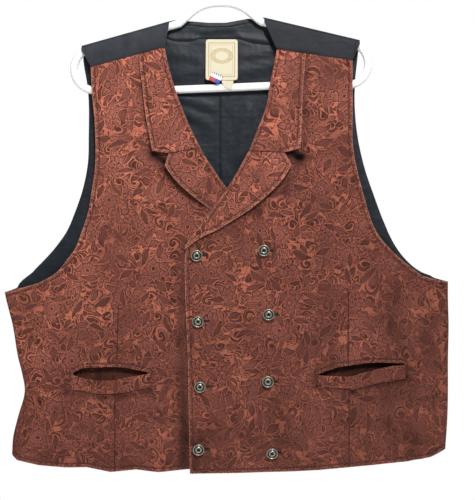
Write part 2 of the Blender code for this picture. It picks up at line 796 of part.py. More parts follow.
def build_lapel(name, rows, high, low, lift, lift_from, panel, flat_tip, collection):
    """Make a lapel or collar that rolls over its panel's edge and lies on the panel.

    lift is how far its outer edge stands off, growing from the row lift_from upwards. flat_tip lays
    the lowest row on the panel with no roll, as at the point of a lapel.
    """
    patch = Patch(rows, low=low, high=high)
    up = patch.knots
    nose = np.minimum(COLLAR_NOSE / (patch.width(up) * crossing(rows, 0)), WIDEST_NOSE)
    columns, rises, extra = [], [], []
    for turn in NOSE_TURNS:
        angle = math.radians(turn)
        columns.append(nose * (1 - math.cos(angle)))
        rises.append(np.full(len(up), COLLAR_NOSE * math.sin(angle) - FRONT_WALL / 2))
        extra.append(np.zeros(len(up)))
    for share in LAPEL_SHARES:
        columns.append(nose + (1 - nose) * share)
        rises.append(np.full(len(up), GAP + LAPEL_WALL))
        grown = smooth_step(patch.knots[lift_from], patch.knots[lift_from + 2], up)
        extra.append(lift * grown * share**2)
    flat = patch.grid(np.array(columns).T, up)
    proud = np.array(rises).T + np.array(extra).T
    if flat_tip:
        proud[0] = GAP + LAPEL_WALL
    below = flat.copy()
    rolled = len(NOSE_TURNS)
    below[:, :rolled] = (flat[:, rolled - 1 : rolled] + flat[:, rolled : rolled + 1]) / 2
    depth = panel.over(below[..., 0], below[..., 1]) + proud
    return cloth(name, with_depth(flat, -depth), LAPEL_WALL, -1, collection, "rust_floral_twill")


def build_welt(name, welt, panel, collection):
    """Make a pocket's welt: sewn down at its ends and foot, with its top gaping in the middle."""
    welt = np.asarray(welt, dtype=float)
    shares = np.linspace(0.0, 1.0, WELT_COLUMNS)
    places = np.interp(shares, np.linspace(0.0, 1.0, len(welt)), welt[:, 0])
    tops = np.interp(places, welt[:, 0], welt[:, 1])
    feet = np.interp(places, welt[:, 0], welt[:, 2])
    grid = []
    for up in WELT_ROWS:
        z = feet + (tops - feet) * up
        bulge = WELT_BULGE * np.sin(np.pi * shares) * up**1.5
        grid.append(np.stack((places, -(panel.over(places, z) + GAP + WELT_WALL + bulge), z), axis=-1))
    return cloth(name, np.array(grid), WELT_WALL, -1, collection, "rust_floral_twill")


def build_bag(name, lip, panel, collection):
    """Make a pocket's bag: a shallow tray behind the front panel, which closes its open side."""
    left, right = lip[0][0] - BAG_MARGIN, lip[-1][0] + BAG_MARGIN
    top = max(z for _, z in lip) + BAG_MARGIN
    foot = top - BAG_LENGTH
    places = np.linspace(left + BAG_SLOPE, right - BAG_SLOPE, BAG_COLUMNS)
    heights = np.linspace(foot + BAG_SLOPE, top - BAG_SLOPE, BAG_ROWS)
    places = np.concatenate(([left], places, [right]))
    heights = np.concatenate(([foot], heights, [top]))
    x, z = np.meshgrid(places, heights)
    deep = np.full(x.shape, BAG_DEEP)
    deep[0], deep[-1], deep[:, 0], deep[:, -1] = 0.0, 0.0, 0.0, 0.0
    depth = panel.under(x, z) - FRONT_WALL - GAP - deep
    points = np.stack((x, -depth, z), axis=-1)
    return cloth(name, points, BAG_WALL, -1, collection, "rust_floral_twill")


def build_button(name, x, z, tip, panel, collection):
    """Make one turned metal button, its shank on the left front's cloth and its face tipped down."""
    mesh = bpy.data.meshes.new(name)
    outline = bmesh.new()
    verts = [outline.verts.new((radius * METRES, 0.0, height * METRES)) for radius, height in BUTTON_SECTION]
    for first, second in zip(verts, verts[1:]):
        outline.edges.new((first, second))
    outline.to_mesh(mesh)
    outline.free()
    piece = add_object(name, mesh, collection, "aged_nickel")
    screw = piece.modifiers.new("turned", "SCREW")
    screw.axis = "Z"
    screw.steps = BUTTON_SIDES
    screw.render_steps = BUTTON_SIDES
    screw.use_merge_vertices = True
    screw.merge_threshold = 0.00005
    screw.use_normal_calculate = True
    tipped = math.radians(tip)
    stand = GAP + BUTTON_SHANK_RADIUS * math.sin(tipped)
    depth = float(panel.over([x], [z])[0]) + stand
    piece.location = (x * METRES, -depth * METRES, z * METRES)
    piece.rotation_euler = (math.pi / 2 + tipped, 0.0, 0.0)
    return piece


def label_y(z):
    """Return the Y of the label's face at a height."""
    share = (LABEL_TOP_Z - z) / (LABEL_TOP_Z - LABEL_FOOT_Z)
    return LABEL_TOP_Y + (LABEL_FOOT_Y - LABEL_TOP_Y) * share


def build_label(collection):
    """Make the main label, sewn at its top and leaning forward towards the hanger's bar."""
    places = np.linspace(LABEL_LEFT_X, LABEL_RIGHT_X, LABEL_COLUMNS)
    heights = np.linspace(LABEL_TOP_Z, LABEL_FOOT_Z, LABEL_ROWS)
    rows = [[(x, label_y(z), z) for x in places] for z in heights]
    return cloth("label", np.array(rows), LABEL_WALL, -1, collection, "cream_label")


def build_size_tab(collection):
    """Make the small size tab that hangs from behind the label, in front of the hanger's bar."""
    rows = [[(x, y, z) for x in np.linspace(left, right, 3)] for left, right, z, y in SIZE_TAB]
    return cloth("size_tab", np.array(rows), TAB_WALL, -1, collection, "cream_label")


def build_ribbon_tab(collection):
    """Make the small folded ribbon at the label's lower corner, turned a little."""
    rows = []
    for up in (-0.5, 0.5):
        row = []
        for across in (-0.5, 0.0, 0.5):
            x, z = across * RIBBON_SIZE[0], up * RIBBON_SIZE[1]
            turned_x = x * math.cos(RIBBON_TURN) - z * math.sin(RIBBON_TURN)
            turned_z = x * math.sin(RIBBON_TURN) + z * math.cos(RIBBON_TURN)
            place_z = RIBBON_CENTRE[1] + turned_z
            row.append((RIBBON_CENTRE[0] + turned_x, label_y(place_z) - RIBBON_PROUD, place_z))
        rows.append(row)
    return cloth("ribbon_tab", np.array(rows), TAB_WALL, -1, collection, "woven_ribbon")


def tube(name, points, radius, cyclic):
    """Return a closed mesh of a round tube along points in X and Z."""
    curve = bpy.data.curves.new(name, "CURVE")
    curve.dimensions = "3D"
    curve.bevel_depth = radius * METRES
    curve.bevel_resolution = 2
    curve.use_fill_caps = not cyclic
    spline = curve.splines.new("POLY")
    spline.points.add(len(points) - 1)
    for point, (x, z) in zip(spline.points, points):
        point.co = (x * METRES, 0.0, z * METRES, 1.0)
    spline.use_cyclic_u = cyclic
    guide = bpy.data.objects.new(name, curve)
    bpy.context.scene.collection.objects.link(guide)
    evaluated = guide.evaluated_get(bpy.context.evaluated_depsgraph_get())
    mesh = bpy.data.meshes.new_from_object(evaluated)
    bpy.data.objects.remove(guide)
    shape = bmesh.new()
    shape.from_mesh(mesh)
    bmesh.ops.remove_doubles(shape, verts=shape.verts, dist=0.00001)
    bmesh.ops.recalc_face_normals(shape, faces=shape.faces)
    shape.to_mesh(mesh)
    shape.free()
    return mesh


def hanger_half():
    """Return half of the hanger's ring, from the middle of its bar out and up to the neck."""
    centre_z = BAR_Z + END_RADIUS
    top_turn = math.pi / 2 - ARM_SLOPE
    tangent_z = centre_z + END_RADIUS * math.sin(top_turn)
    tangent_x = ARM_ROOT_X + (ARM_ROOT_Z - tangent_z) / math.tan(ARM_SLOPE)
    centre_x = tangent_x - END_RADIUS * math.cos(top_turn)
    points = [(x, BAR_Z) for x in np.linspace(0.0, centre_x, 5)]
    for turn in np.linspace(-math.pi / 2, top_turn, 10)[1:]:
        points.append((centre_x + END_RADIUS * math.cos(turn), centre_z + END_RADIUS * math.sin(turn)))
    points += [((tangent_x + ARM_ROOT_X) / 2, (tangent_z + ARM_ROOT_Z) / 2), (ARM_ROOT_X, ARM_ROOT_Z)]
    return points + list(NECK_ARCH)


def hook_line():
    """Return the hook's line: up from the neck, out to one side and over in a round bend."""
    centre_z = HOOK_RADIUS - HOOK_BEND_RADIUS
    line = list(HOOK_STEM)
    for degrees in np.linspace(-45.0, 205.0, 19):
        turn = math.radians(degrees)
        line.append((HOOK_BEND_RADIUS * math.cos(turn), centre_z + HOOK_BEND_RADIUS * math.sin(turn)))
    return line


def build_hanger(collection, cutters):
    """Make the hanger: ring and hook joined into one body, tilted about the rail."""
    half = hanger_half()
    ring = half + [(-x, z) for x, z in half[-2:0:-1]]
    mesh = tube("hanger", ring, TUBE_RADIUS, True)
    hanger = add_object("hanger", mesh, collection, "white_plastic")
    hook = bpy.data.objects.new("hook_to_join", tube("hook_to_join", hook_line(), HOOK_RADIUS, False))
    cutters.objects.link(hook)
    hook.hide_render = True
    hook.display_type = "WIRE"
    join = hanger.modifiers.new("hook", "BOOLEAN")
    join.operation = "UNION"
    join.solver = "EXACT"
    join.object = hook
    for piece in (hanger, hook):
        piece.rotation_euler = (0.0, -HANGER_TILT, 0.0)
    return hanger


def clear_scene():
    """Remove what the scene holds."""
    for item in list(bpy.data.objects):
        bpy.data.objects.remove(item)


def main():
    """Build every piece of the vest and its hanger."""
    clear_scene()
    vest = bpy.data.collections.new("western_vest")
    cutters = bpy.data.collections.new("cutters")
    for collection in (vest, cutters):
        bpy.context.scene.collection.children.link(collection)

    left = build_front(
        "front_left", LEFT_FRONT, LEFT_HEM, LEFT_UNDERARM, LEFT_LAPEL_TIP, draped_depth, vest
    )
    right = build_front(
        "front_right", RIGHT_FRONT, RIGHT_HEM, RIGHT_UNDERARM, RIGHT_LAPEL_TIP, right_front_depth, vest
    )
    cut(left, mouth_cutter("mouth_left", LEFT_WELT, LEFT_LIP, cutters))
    cut(right, mouth_cutter("mouth_right", RIGHT_WELT, RIGHT_LIP, cutters))

    over_left = Draped(left, -1, draped_depth)
    over_right = Draped(right, -1, right_front_depth)

    for name, side, front, underarm, armhole, hem, neck in (
        ("left", 1, LEFT_FRONT, LEFT_UNDERARM, LEFT_BACK_ARMHOLE, LEFT_BACK_HEM, LEFT_NECK),
        ("right", -1, RIGHT_FRONT, RIGHT_UNDERARM, RIGHT_BACK_ARMHOLE, RIGHT_BACK_HEM, RIGHT_NECK),
    ):
        shoulder = front[-1]
        seam = [(x, z + SHOULDER_SEAM) for x, z in (shoulder[2:], shoulder[:2])]
        shell = build_back("back_" + name, side, front, underarm, armhole, hem, neck, seam, vest)
        draped = Draped(shell, 1, lambda x, z: draped_depth(x, z, back=True))
        build_lining("lining_" + name, side, front, underarm, armhole, draped, vest)
    build_facing(vest)

    build_lapel("lapel_left", LEFT_LAPEL, LEFT_LAPEL_TOP, None, LAPEL_LIFT, 0, over_left, True, vest)
    build_lapel("lapel_right", RIGHT_LAPEL, RIGHT_LAPEL_TOP, None, LAPEL_LIFT, 3, over_right, False, vest)
    build_lapel("collar_left", LEFT_COLLAR, None, LEFT_GORGE, COLLAR_LIFT, 0, over_left, False, vest)
    build_lapel("collar_right", RIGHT_COLLAR, None, RIGHT_GORGE, COLLAR_LIFT, 0, over_right, False, vest)

    build_welt("welt_left", LEFT_WELT, over_left, vest)
    build_welt("welt_right", RIGHT_WELT, over_right, vest)
    build_bag("pocket_bag_left", LEFT_LIP, over_left, vest)
    build_bag("pocket_bag_right", RIGHT_LIP, over_right, vest)

    for number, (x, z, tip) in enumerate(BUTTONS, start=1):
        build_button(f"button_{number}", x, z, tip, over_left, vest)
    build_label(vest)
    build_size_tab(vest)
    build_ribbon_tab(vest)
    build_hanger(vest, cutters)


main()
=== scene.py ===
"""The looks of a double-breasted western vest that hangs on a tubular plastic hanger.

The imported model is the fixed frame. Each cloth piece is built again here on the same form, with a
finer surface, its creases and its trim, and stands for its node. Left and right are the wearer's.
Sizes are in millimetres and become metres when a mesh is made.
"""

from __future__ import annotations

import logging
import math
from collections import defaultdict
from dataclasses import dataclass, field
from enum import Enum
from typing import Callable, Iterable, Sequence

import bmesh
import bpy
import numpy as np
from mathutils.bvhtree import BVHTree
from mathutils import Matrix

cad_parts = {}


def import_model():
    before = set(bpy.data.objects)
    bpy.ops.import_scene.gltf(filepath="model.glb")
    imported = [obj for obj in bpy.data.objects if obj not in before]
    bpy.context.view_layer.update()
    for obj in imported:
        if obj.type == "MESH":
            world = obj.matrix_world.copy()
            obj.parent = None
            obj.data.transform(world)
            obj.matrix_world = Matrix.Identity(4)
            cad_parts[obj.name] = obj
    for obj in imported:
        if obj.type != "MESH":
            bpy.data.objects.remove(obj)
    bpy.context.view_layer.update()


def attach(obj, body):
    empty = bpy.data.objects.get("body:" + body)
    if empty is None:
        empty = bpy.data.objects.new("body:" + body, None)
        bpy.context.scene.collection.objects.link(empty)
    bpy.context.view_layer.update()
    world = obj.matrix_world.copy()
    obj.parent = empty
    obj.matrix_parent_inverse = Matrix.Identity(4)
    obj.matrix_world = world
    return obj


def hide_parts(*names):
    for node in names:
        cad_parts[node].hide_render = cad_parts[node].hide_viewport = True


LOG = logging.getLogger("western_vest")
METRES = 0.001
BODY = "root"

# Cloth walls and the gaps between pieces
FRONT_WALL = 2.0
LAPEL_WALL = 2.0
BACK_WALL = 1.2
LINING_WALL = 1.0
WELT_WALL = 1.6
BAG_WALL = 0.8
LABEL_WALL = 0.8
TAB_WALL = 0.6
GAP = 0.3
SEAM_HALF = 0.2
SHOULDER_SEAM = 0.5
TURNED_EDGE = 0.5
FAR_AWAY = 1000.0

# Stitching: how far inside each edge it runs
HEM_INSET, EDGE_INSET = 6.5, 5.5
PLACKET_INSETS = (4.0, 10.0)
LAPEL_INSET, WELT_INSET, LIP_INSET = 5.0, 1.8, -1.6

# How far the lining stops inside the shell at its side, armhole and hem, and how loosely it hangs
LINING_SIDE, LINING_ARMHOLE, LINING_HEM = 17.0, 1.5, 15.0
LINING_LOOSE, FACING_LOOSE = 0.5, 0.3

# Spacing of the points on the cloth
PANEL_PITCH = 5.0
TRIM_PITCH = 3.5

# Hanger: a ring of tube with a flat bar, two sloping arms and rounded ends, and a hook
TUBE_RADIUS = 6.0
HOOK_RADIUS = 5.0
HANGER_TILT = math.radians(1.2)
ARM_SLOPE = math.radians(14.5)
ARM_ROOT_X, ARM_ROOT_Z = 62.0, -84.1
BAR_Z = -182.0
BAR_LEAN = 0.02
END_RADIUS = 32.0
NECK_ARCH = ((50.0, -74.0), (36.0, -63.0), (19.0, -56.0), (0.0, -54.0))
HOOK_BEND_RADIUS = 24.0
HOOK_STEM = ((0.0, -54.0), (0.5, -48.0), (4.0, -43.0))

# Where the back wraps over the hanger's arms
SHOULDER_DEPTH = 9.6
FOLD_RISE = 7.7
WRAP_STEPS = 14
STRIP_STEPS = 6
OVER_SHOULDER = 60

# Side folds, and how far the under layers sit back
SIDE_ROUND = 14.0
SIDE_STRAIGHT = 1.6
UNDERARM_HALF = 0.9
HALF_WIDTH = 333.0
SIDE_FLATTENING, FLATTENING_POWER = 0.66, 2.4
BODY_FULL, BODY_NONE = -290.0, -165.0
LAP_STEP = 5.0
LAP_FROM, LAP_TO = -118.0, -62.0
LAP_NONE, LAP_WHOLE = -300.0, -225.0
COLLAR_NOSE = FRONT_WALL / 2 + GAP + LAPEL_WALL

# Depth of the two draped surfaces from the mid-plane: z, front, back
DRAPE = (
    (-60, 9.6, 9.6), (-160, 9.8, 9.8), (-300, 14.5, 11.4), (-480, 19.0, 14.0), (-640, 20.5, 15.0),
    (-760, 24.0, 18.0),
)

# Large folds, as ridges with a height above 0 and troughs below: from x, z to x, z, half width, height
FRONT_FOLDS = (
    (-296, -628, -225, -652, 20, 3.5), (-294, -655, -232, -722, 20, -3.0),
    (-292, -606, -235, -560, 22, 3.0), (-225, -470, -180, -555, 26, 2.5), (-120, -350, -105, -545, 30, 2.0),
    (-78, -665, -82, -760, 24, 2.5), (120, -380, 118, -560, 30, 2.0), (262, -480, 305, -590, 26, 3.0),
    (300, -660, 290, -745, 24, 3.0), (115, -665, 108, -755, 24, 2.5),
)
BACK_FOLDS = (
    (-150, -230, -120, -520, 30, 3.0), (-60, -360, -72, -700, 28, 2.5), (70, -330, 82, -690, 28, 2.5),
    (158, -230, 150, -520, 30, 3.0), (-230, -480, -205, -740, 28, 3.5), (235, -470, 214, -740, 28, 3.5),
    (-292, -640, -220, -690, 22, 3.0),
)

# Creases of the fronts, finer than the folds: from x, z to x, z, half width, height
FRONT_CREASES = (
    (-289, -652, -276, -700, 5, 2.4), (-296, -656, -284, -702, 6, -1.8), (-277, -646, -266, -708, 7, -2.6),
    (-292, -632, -256, -666, 6, -2.0), (-290, -626, -240, -606, 7, -1.6), (-286, -604, -262, -520, 9, 1.5),
    (-268, -716, -196, -700, 8, -1.4), (-256, -690, -176, -684, 9, 1.3), (-104, -637, -153, -688, 5, -1.7),
    (-112, -628, -161, -678, 6, 1.1), (-124, -700, -119, -748, 6, -1.2), (-60, -300, -82, -372, 9, -1.4),
    (-176, -420, -148, -512, 9, -1.2), (-208, -448, -228, -540, 10, 1.4), (-96, -560, -92, -650, 9, -1.2),
    (-40, -682, 50, -686, 8, 1.8), (-40, -697, 48, -701, 8, -1.6), (-40, -478, -8, -488, 5, -0.9),
    (-42, -574, -4, -584, 6, 0.9), (249, -488, 256, -575, 7, -2.9), (234, -480, 240, -570, 7, 1.9),
    (268, -500, 276, -590, 8, 2.2), (314, -562, 306, -608, 6, -2.6), (322, -560, 322, -620, 7, 1.4),
    (253, -634, 250, -712, 7, -2.6), (238, -640, 232, -716, 7, 1.8), (127, -668, 116, -714, 5, -1.6),
    (282, -686, 290, -738, 7, -2.6), (298, -684, 304, -732, 7, 1.8), (168, -420, 176, -520, 10, -1.2),
    (96, -560, 60, -600, 9, -1.0), (140, -330, 132, -420, 12, 1.2), (316, -478, 268, -500, 7, -1.5),
)
LINING_CREASES = (
    (-66, -194, -8, -211, 4, 3.0), (-56, -216, -14, -236, 6, 1.8), (30, -157, 84, -146, 6, 2.4),
    (32, -133, 84, -127, 5, 2.0), (-72, -128, -30, -136, 6, 1.8), (-60, -160, -26, -154, 7, 1.6),
    (-44, -250, -26, -300, 7, 1.6), (44, -214, 30, -290, 8, 2.0),
)
FACING_CREASES = (
    (-74, -107, -34, -107, 4, 2.0), (32, -104, 78, -112, 4, 2.2), (-30, -95, 24, -91, 5, 1.0),
)

# Painted light on the front cloth, lighter towards the top: z, its painted brightness, and how much that
# falls from the middle to the wearer's left side
PAINTED_LIGHT_BY_HEIGHT = (
    (-760, 0.65, 0.07), (-690, 0.67, 0.08), (-612, 0.78, 0.13), (-545, 0.84, 0.18), (-365, 0.98, 0.29),
    (-200, 1.17, 0.3), (-120, 1.22, 0.3),
)
# Soft lines along which the front is painted paler or darker, given as the folds are: painted shade along
# the troughs of folds and creases, and painted light along some ridges
FRONT_PAINTED_SHADING = (
    (-300, -640, -270, -720, 26, 0.05), (-168, -575, -100, -500, 30, -0.05),
    (-298, -724, -236, -737, 14, -0.13), (-212, -688, -160, -691, 10, -0.2),
    (-40, -703, 52, -707, 11, -0.22), (-294, -655, -284, -698, 6, -0.16), (-180, -672, -150, -676, 9, 0.1),
    (252, -478, 266, -560, 14, -0.22), (254, -632, 252, -690, 11, -0.2), (205, -682, 228, -700, 12, 0.12),
    (332, -485, 336, -550, 9, 0.1), (280, -684, 294, -736, 12, -0.18), (307, -552, 318, -600, 12, -0.2),
    (172, -640, 232, -668, 12, 0.05),
)

# Painted shadows: the front cloth is painted darker where the lapels, the collars, the over-lap and the
# welts cast their shadows on it
LEFT_PAINTED_SHADOWS = (
    (103, -281, 124, -286, 9, -0.92), (118, -292, 113, -308, 8, -0.3), (104, -318, 99, -342, 7, -0.5),
    (92, -336, 58, -366, 8, -0.3), (58, -368, -46, -424, 8, -0.34), (131, -135, 128, -268, 6, -0.26),
    (148, -630, 200, -636, 5, -0.34), (200, -636, 279, -618, 5, -0.34), (145, -612, 146, -628, 5, -0.3),
    (282, -597, 282, -616, 5, -0.3),
)
RIGHT_PAINTED_SHADOWS = (
    (-56, -425, -52, -757, 10, -0.42), (-97, -283, -80, -294, 9, -1.08), (-78, -308, -36, -354, 9, -0.68),
    (-123, -135, -104, -274, 6, -0.26), (-226, -638, -170, -645, 5, -0.36),
    (-170, -645, -104, -637, 5, -0.36), (-230, -612, -228, -636, 5, -0.36),
    (-100, -610, -100, -636, 5, -0.32),
)
# Painted light on the back's shoulder strip at the wearer's right, and painted shade and light along the
# strips' creases
STRIP_PAINTED_SHADING = (
    (-190, -108, -85, -78, 30, 1.0), (-142, -84, -138, -120, 5, -0.2), (-131, -84, -127, -116, 5, 0.14),
    (-107, -76, -103, -110, 5, -0.18), (-96, -76, -93, -106, 5, 0.12), (150, -88, 152, -120, 6, -0.15),
    (104, -76, 106, -108, 6, 0.12),
)

# Left front, from hem to shoulder seam: outer x, outer z, inner x, inner z
LEFT_FRONT = (
    (340, -724, -43, -758), (343, -680, -44, -710), (344, -640, -45, -657), (344, -591, -46, -597),
    (345, -537, -48, -544), (344, -500, -50, -500), (344, -473, -51, -462), (325, -470, -51, -442),
    (304, -464, -52, -420), (280, -446, -34, -397), (256, -424, -20, -378), (239, -404, -4, -357),
    (227, -380, 13, -332), (218, -349, 26, -311), (206, -303, 45, -276), (200, -265, 58, -244),
    (200, -217, 70, -212), (200, -177, 77, -172), (200, -142, 86, -125),
)
LEFT_UNDERARM = 6
LEFT_LAPEL_TIP = 8
LEFT_HEM = ((-43, -758), (28, -757), (148, -753), (232, -746), (282, -741), (318, -735), (340, -724))

# Right front, as above; its inner edge is hidden under the left front up to the neck
RIGHT_FRONT = (
    (-311, -732, 81, -752), (-309, -705, 81, -710), (-302, -676, 81, -680), (-292, -638, 81, -642),
    (-296, -610, 81, -608), (-302, -587, 81, -578), (-310, -539, 81, -537), (-320, -499, 81, -496),
    (-322, -489, 81, -484), (-302, -484, 81, -454), (-269, -475, 81, -423), (-240, -457, 58, -393),
    (-226, -439, 44, -374), (-215, -424, 28, -354), (-204, -396, 11, -332), (-195, -368, -2, -314),
    (-190, -337, -14, -296), (-185, -301, -28, -273), (-185, -253, -42, -244), (-187, -222, -53, -218),
    (-190, -193, -65, -186), (-191, -170, -75, -152), (-192, -152, -81, -122),
)
RIGHT_UNDERARM = 8
RIGHT_LAPEL_TIP = 10
RIGHT_HEM = (
    (81, -752), (-45, -752), (-89, -756), (-123, -752), (-161, -756), (-197, -749), (-228, -750),
    (-269, -747), (-302, -740), (-311, -732),
)

# Armholes of the back, from underarm to shoulder, and the hem and neck of each half: x, z
CENTRE_BACK = 3.0
CENTRE_HEM = -757.0
LINING_CENTRE = 1.0
RIGHT_BACK_ARMHOLE = (
    (-306, -483), (-277, -454), (-249, -424), (-231, -399), (-217.5, -368), (-205.5, -332), (-198.5, -296),
    (-197, -253), (-198.5, -181), (-205, -140),
)
LEFT_BACK_ARMHOLE = (
    (326, -468), (302, -457), (278, -436), (264, -416), (249, -384), (234, -344), (220, -303), (209, -253),
    (205, -178), (209, -136),
)
RIGHT_BACK_HEM = (
    (3, -757), (-80, -758), (-150, -755), (-228, -753), (-269, -748), (-302, -740), (-311, -732),
)
LEFT_BACK_HEM = ((3, -757), (148, -754), (232, -747), (282, -741), (318, -735), (340, -724))
RIGHT_NECK = ((3, -82.5), (-16, -82.5), (-52, -79.5), (-68, -78.5))
LEFT_NECK = ((3, -82.5), (10, -82.5), (43, -76.5), (61, -75))
NECK_STAND = 8.0
NECK_PART, SHOULDER_PART = 0.355, 0.385
SHOULDER_ENDS = {-1: (-75.0, -206.0), 1: (68.0, 211.0)}
FACING_LINE = ((-81, -106), (-62, -111), (-44, -111), (-32, -107), (30, -107), (51, -114), (80, -117))

# Lapels and collars, from their lowest row up: outer x, outer z, inner x, inner z
LEFT_LAPEL = (
    (-51, -425, -50, -419), (-28, -407, -41, -405), (-4, -396, -28, -389), (20, -382, -12, -366),
    (49, -363, 1, -349), (74, -342, 13, -332), (93, -323, 26, -311), (108, -299, 44, -278),
)
LEFT_LAPEL_TOP = ((44, -278), (98, -281), (108, -299))
RIGHT_LAPEL = (
    (8, -380, 32, -358), (-3, -372, 21, -345), (-12, -366, 11, -332), (-30, -352, -2, -314),
    (-46, -339, -8, -304), (-61, -325, -14, -296), (-71, -313, -22, -283), (-80, -300, -28, -273),
)
RIGHT_LAPEL_TOP = ((-28, -273), (-75, -282), (-80, -300))
LEFT_COLLAR = (
    (121, -274, 45, -277.2), (123, -241, 58, -244), (124, -212, 70, -212), (126, -177, 77, -172),
    (128, -152, 82, -148), (128, -133, 86, -126),
)
LEFT_GORGE = ((45, -277.2), (98, -280.2), (121, -274))
RIGHT_COLLAR = (
    (-99, -278, -28, -272.2), (-105, -246, -42, -244), (-110, -218, -53, -218), (-114, -183, -65, -186),
    (-118, -154, -75, -152), (-119, -134, -81, -123),
)
RIGHT_GORGE = ((-28, -272.2), (-76, -281.2), (-99, -278))
NOSE_TURNS = (0.0, 22.0, 45.0, 68.0, 90.0)
LAPEL_BOLT_X, LAPEL_BOLT_STEP, LAPEL_BOLT_Z = 700.0, 13, 500.0
WIDEST_NOSE = 0.4

# Pockets: the top and foot of each welt from its left end, and the lip of cloth over its mouth; a line of
# paler or darker cloth with the half width EVENLY covers a whole piece
RIGHT_WELT = (
    (-220, -611, -634), (-206, -616, -636), (-189, -619, -639), (-162, -620, -640), (-134, -615, -637),
    (-117, -612, -633), (-102, -609, -631),
)
RIGHT_LIP = ((-218, -609), (-206, -603), (-183, -601), (-150, -600), (-129, -603), (-104, -608))
LEFT_WELT = (
    (147, -612, -632), (180, -614, -631), (197, -614, -634), (213, -609, -631), (230, -605, -626),
    (257, -599, -622), (279, -597, -618),
)
LEFT_LIP = ((149, -610), (180, -600), (202, -597), (225, -594), (246, -594), (277, -595.5))
WELT_BULGE = 4.0
MOUTH_BEHIND_WELT = 4.0
MOUTH_END_INSET = 2.0
CUTTER_PROUD, CUTTER_LENGTH = 12.0, 30.0
BAG_DEEP = 7.0
BAG_LENGTH = 90.0
BAG_MARGIN = 5.0
BAG_SLOPE = 2.0
# Painted shade in each pocket: its bag is painted darker towards the mouth
BAG_SHADE_DEPTH = 60
BAG_PAINTED_SHADE = -0.56
# The welts are a little paler than the front round them
WELT_PALER = 0.1
EVENLY = 200
POCKET_BOLT = (4.0, 333.0, -47.0)

# Dart seams of the fronts, from each one's point down to the hem: x, z
RIGHT_DART = ((-150, -507), (-152, -600), (-155, -650), (-155, -760))
LEFT_DART = ((193, -484), (193, -600), (194, -650), (194, -760))

# Buttons: x, z and how far each one is tipped down
BUTTONS = (
    (-33, -433, 13), (-31, -531, 14), (-28, -628, 13), (-30, -721, 12), (67, -426, 6), (74, -521, 8),
    (73, -621, 5), (79, -726, 18),
)

# Labels at the back neck: the main one leans forward as it hangs
LABEL_LEFT_X, LABEL_RIGHT_X = -20.0, 28.0
LABEL_TOP_Z, LABEL_FOOT_Z = -108.0, -171.0
LABEL_TOP_Y, LABEL_FOOT_Y = 5.3, -6.4
LABEL_CORNER = 4.0
LABEL_CURL = 0.9
SIZE_TAB = ((4, 22, -168, -4.6), (4.5, 21.5, -176, -6.3), (8, 18, -184, -7.0))
RIBBON_CENTRE = (-5.0, -168.0)
RIBBON_SIZE = (17.0, 14.0)
RIBBON_TURN = math.radians(-25)
RIBBON_PROUD = 0.9

Array = np.ndarray
Value = object
Socket = bpy.types.NodeSocket
Piece = bpy.types.Object
Line = Sequence[Sequence[float]]
Curve = Callable[[Array], Array]
Depth = Callable[[Array, Array], Array]


def linear(code: str) -> tuple[float, float, float, float]:
    """Turn an sRGB hex colour into the linear colour that a shader takes.

    Args:
        code: a colour such as "#B5593E".

    Returns:
        Red, green, blue and an alpha of 1.
    """
    shares = [int(code[start : start + 2], 16) / 255 for start in (1, 3, 5)]
    red, green, blue = (s / 12.92 if s <= 0.04045 else ((s + 0.055) / 1.055) ** 2.4 for s in shares)
    return (red, green, blue, 1.0)


def smooth_step(low: float, high: float, value: Array | float) -> Array:
    """Return 0 below low, 1 above high, and a soft rise between."""
    share = np.clip((np.asarray(value, dtype=float) - low) / (high - low), 0.0, 1.0)
    return share * share * (3.0 - 2.0 * share)


def corner_shares(points: Line) -> Array:
    """Return how far along a line of points each point lies, as a share of its length."""
    lengths = np.linalg.norm(np.diff(np.asarray(points, dtype=float), axis=0), axis=1)
    return np.concatenate(([0.0], np.cumsum(lengths))) / lengths.sum()


def shares_with_corners(points: Line, pitch: float) -> Array:
    """Return even shares along a line, with each of its corners in place of the nearest one.

    Args:
        points: the line's corners in millimetres.
        pitch: the distance to keep between shares.

    Returns:
        Shares from 0 to 1, in order.
    """
    corners = corner_shares(points)
    length = np.linalg.norm(np.diff(np.asarray(points, dtype=float), axis=0), axis=1).sum()
    count = max(2, round(length / pitch))
    even = np.linspace(0.0, 1.0, count + 1)
    even = even[np.abs(even[:, None] - corners).min(1) > 0.5 / count]
    return np.sort(np.concatenate((corners, even)))


def along(points: Line) -> Curve:
    """Return a function that gives the point at a share of the length of a line through points.

    Args:
        points: the line's corners.

    Returns:
        The function.
    """
    corners = np.asarray(points, dtype=float)
    shares = corner_shares(points)

    def at(share: Array) -> Array:
        """Return the points at the shares."""
        return np.stack([np.interp(share, shares, corners[:, axis]) for axis in (0, 1)], axis=-1)

    return at


def curve_through(knots: Array, places: Line, corners: Iterable[int] = ()) -> Curve:
    """Return a function that gives the smooth curve through points at knots, sharp at corners.

    Args:
        knots: the value at which the curve reaches each point.
        places: the points.
        corners: the numbers of the points at which it turns sharply.

    Returns:
        The curve, as a function of values between the first knot and the last.
    """
    points = np.asarray(places, dtype=float)
    steps = np.diff(knots)[:, None]
    chords = np.diff(points, axis=0) / steps
    leaving, arriving = chords.copy(), chords.copy()
    for row in range(1, len(knots) - 1):
        if row not in corners:
            total = steps[row - 1] + steps[row]
            slope = (chords[row - 1] * steps[row] + chords[row] * steps[row - 1]) / total
            arriving[row - 1] = slope
            leaving[row] = slope

    def at(values: Array) -> Array:
        """Return the curve's points at the values."""
        values = np.asarray(values, dtype=float)
        span = np.clip(np.searchsorted(knots, values, side="right") - 1, 0, len(knots) - 2)
        step = steps[span]
        u = ((values - knots[span])[..., None]) / step
        start, end = points[span], points[span + 1]
        return (
            start * (1 + 2 * u) * (1 - u) ** 2
            + leaving[span] * step * u * (1 - u) ** 2
            + end * u * u * (3 - 2 * u)
            + arriving[span] * step * u * u * (u - 1)
        )

    return at


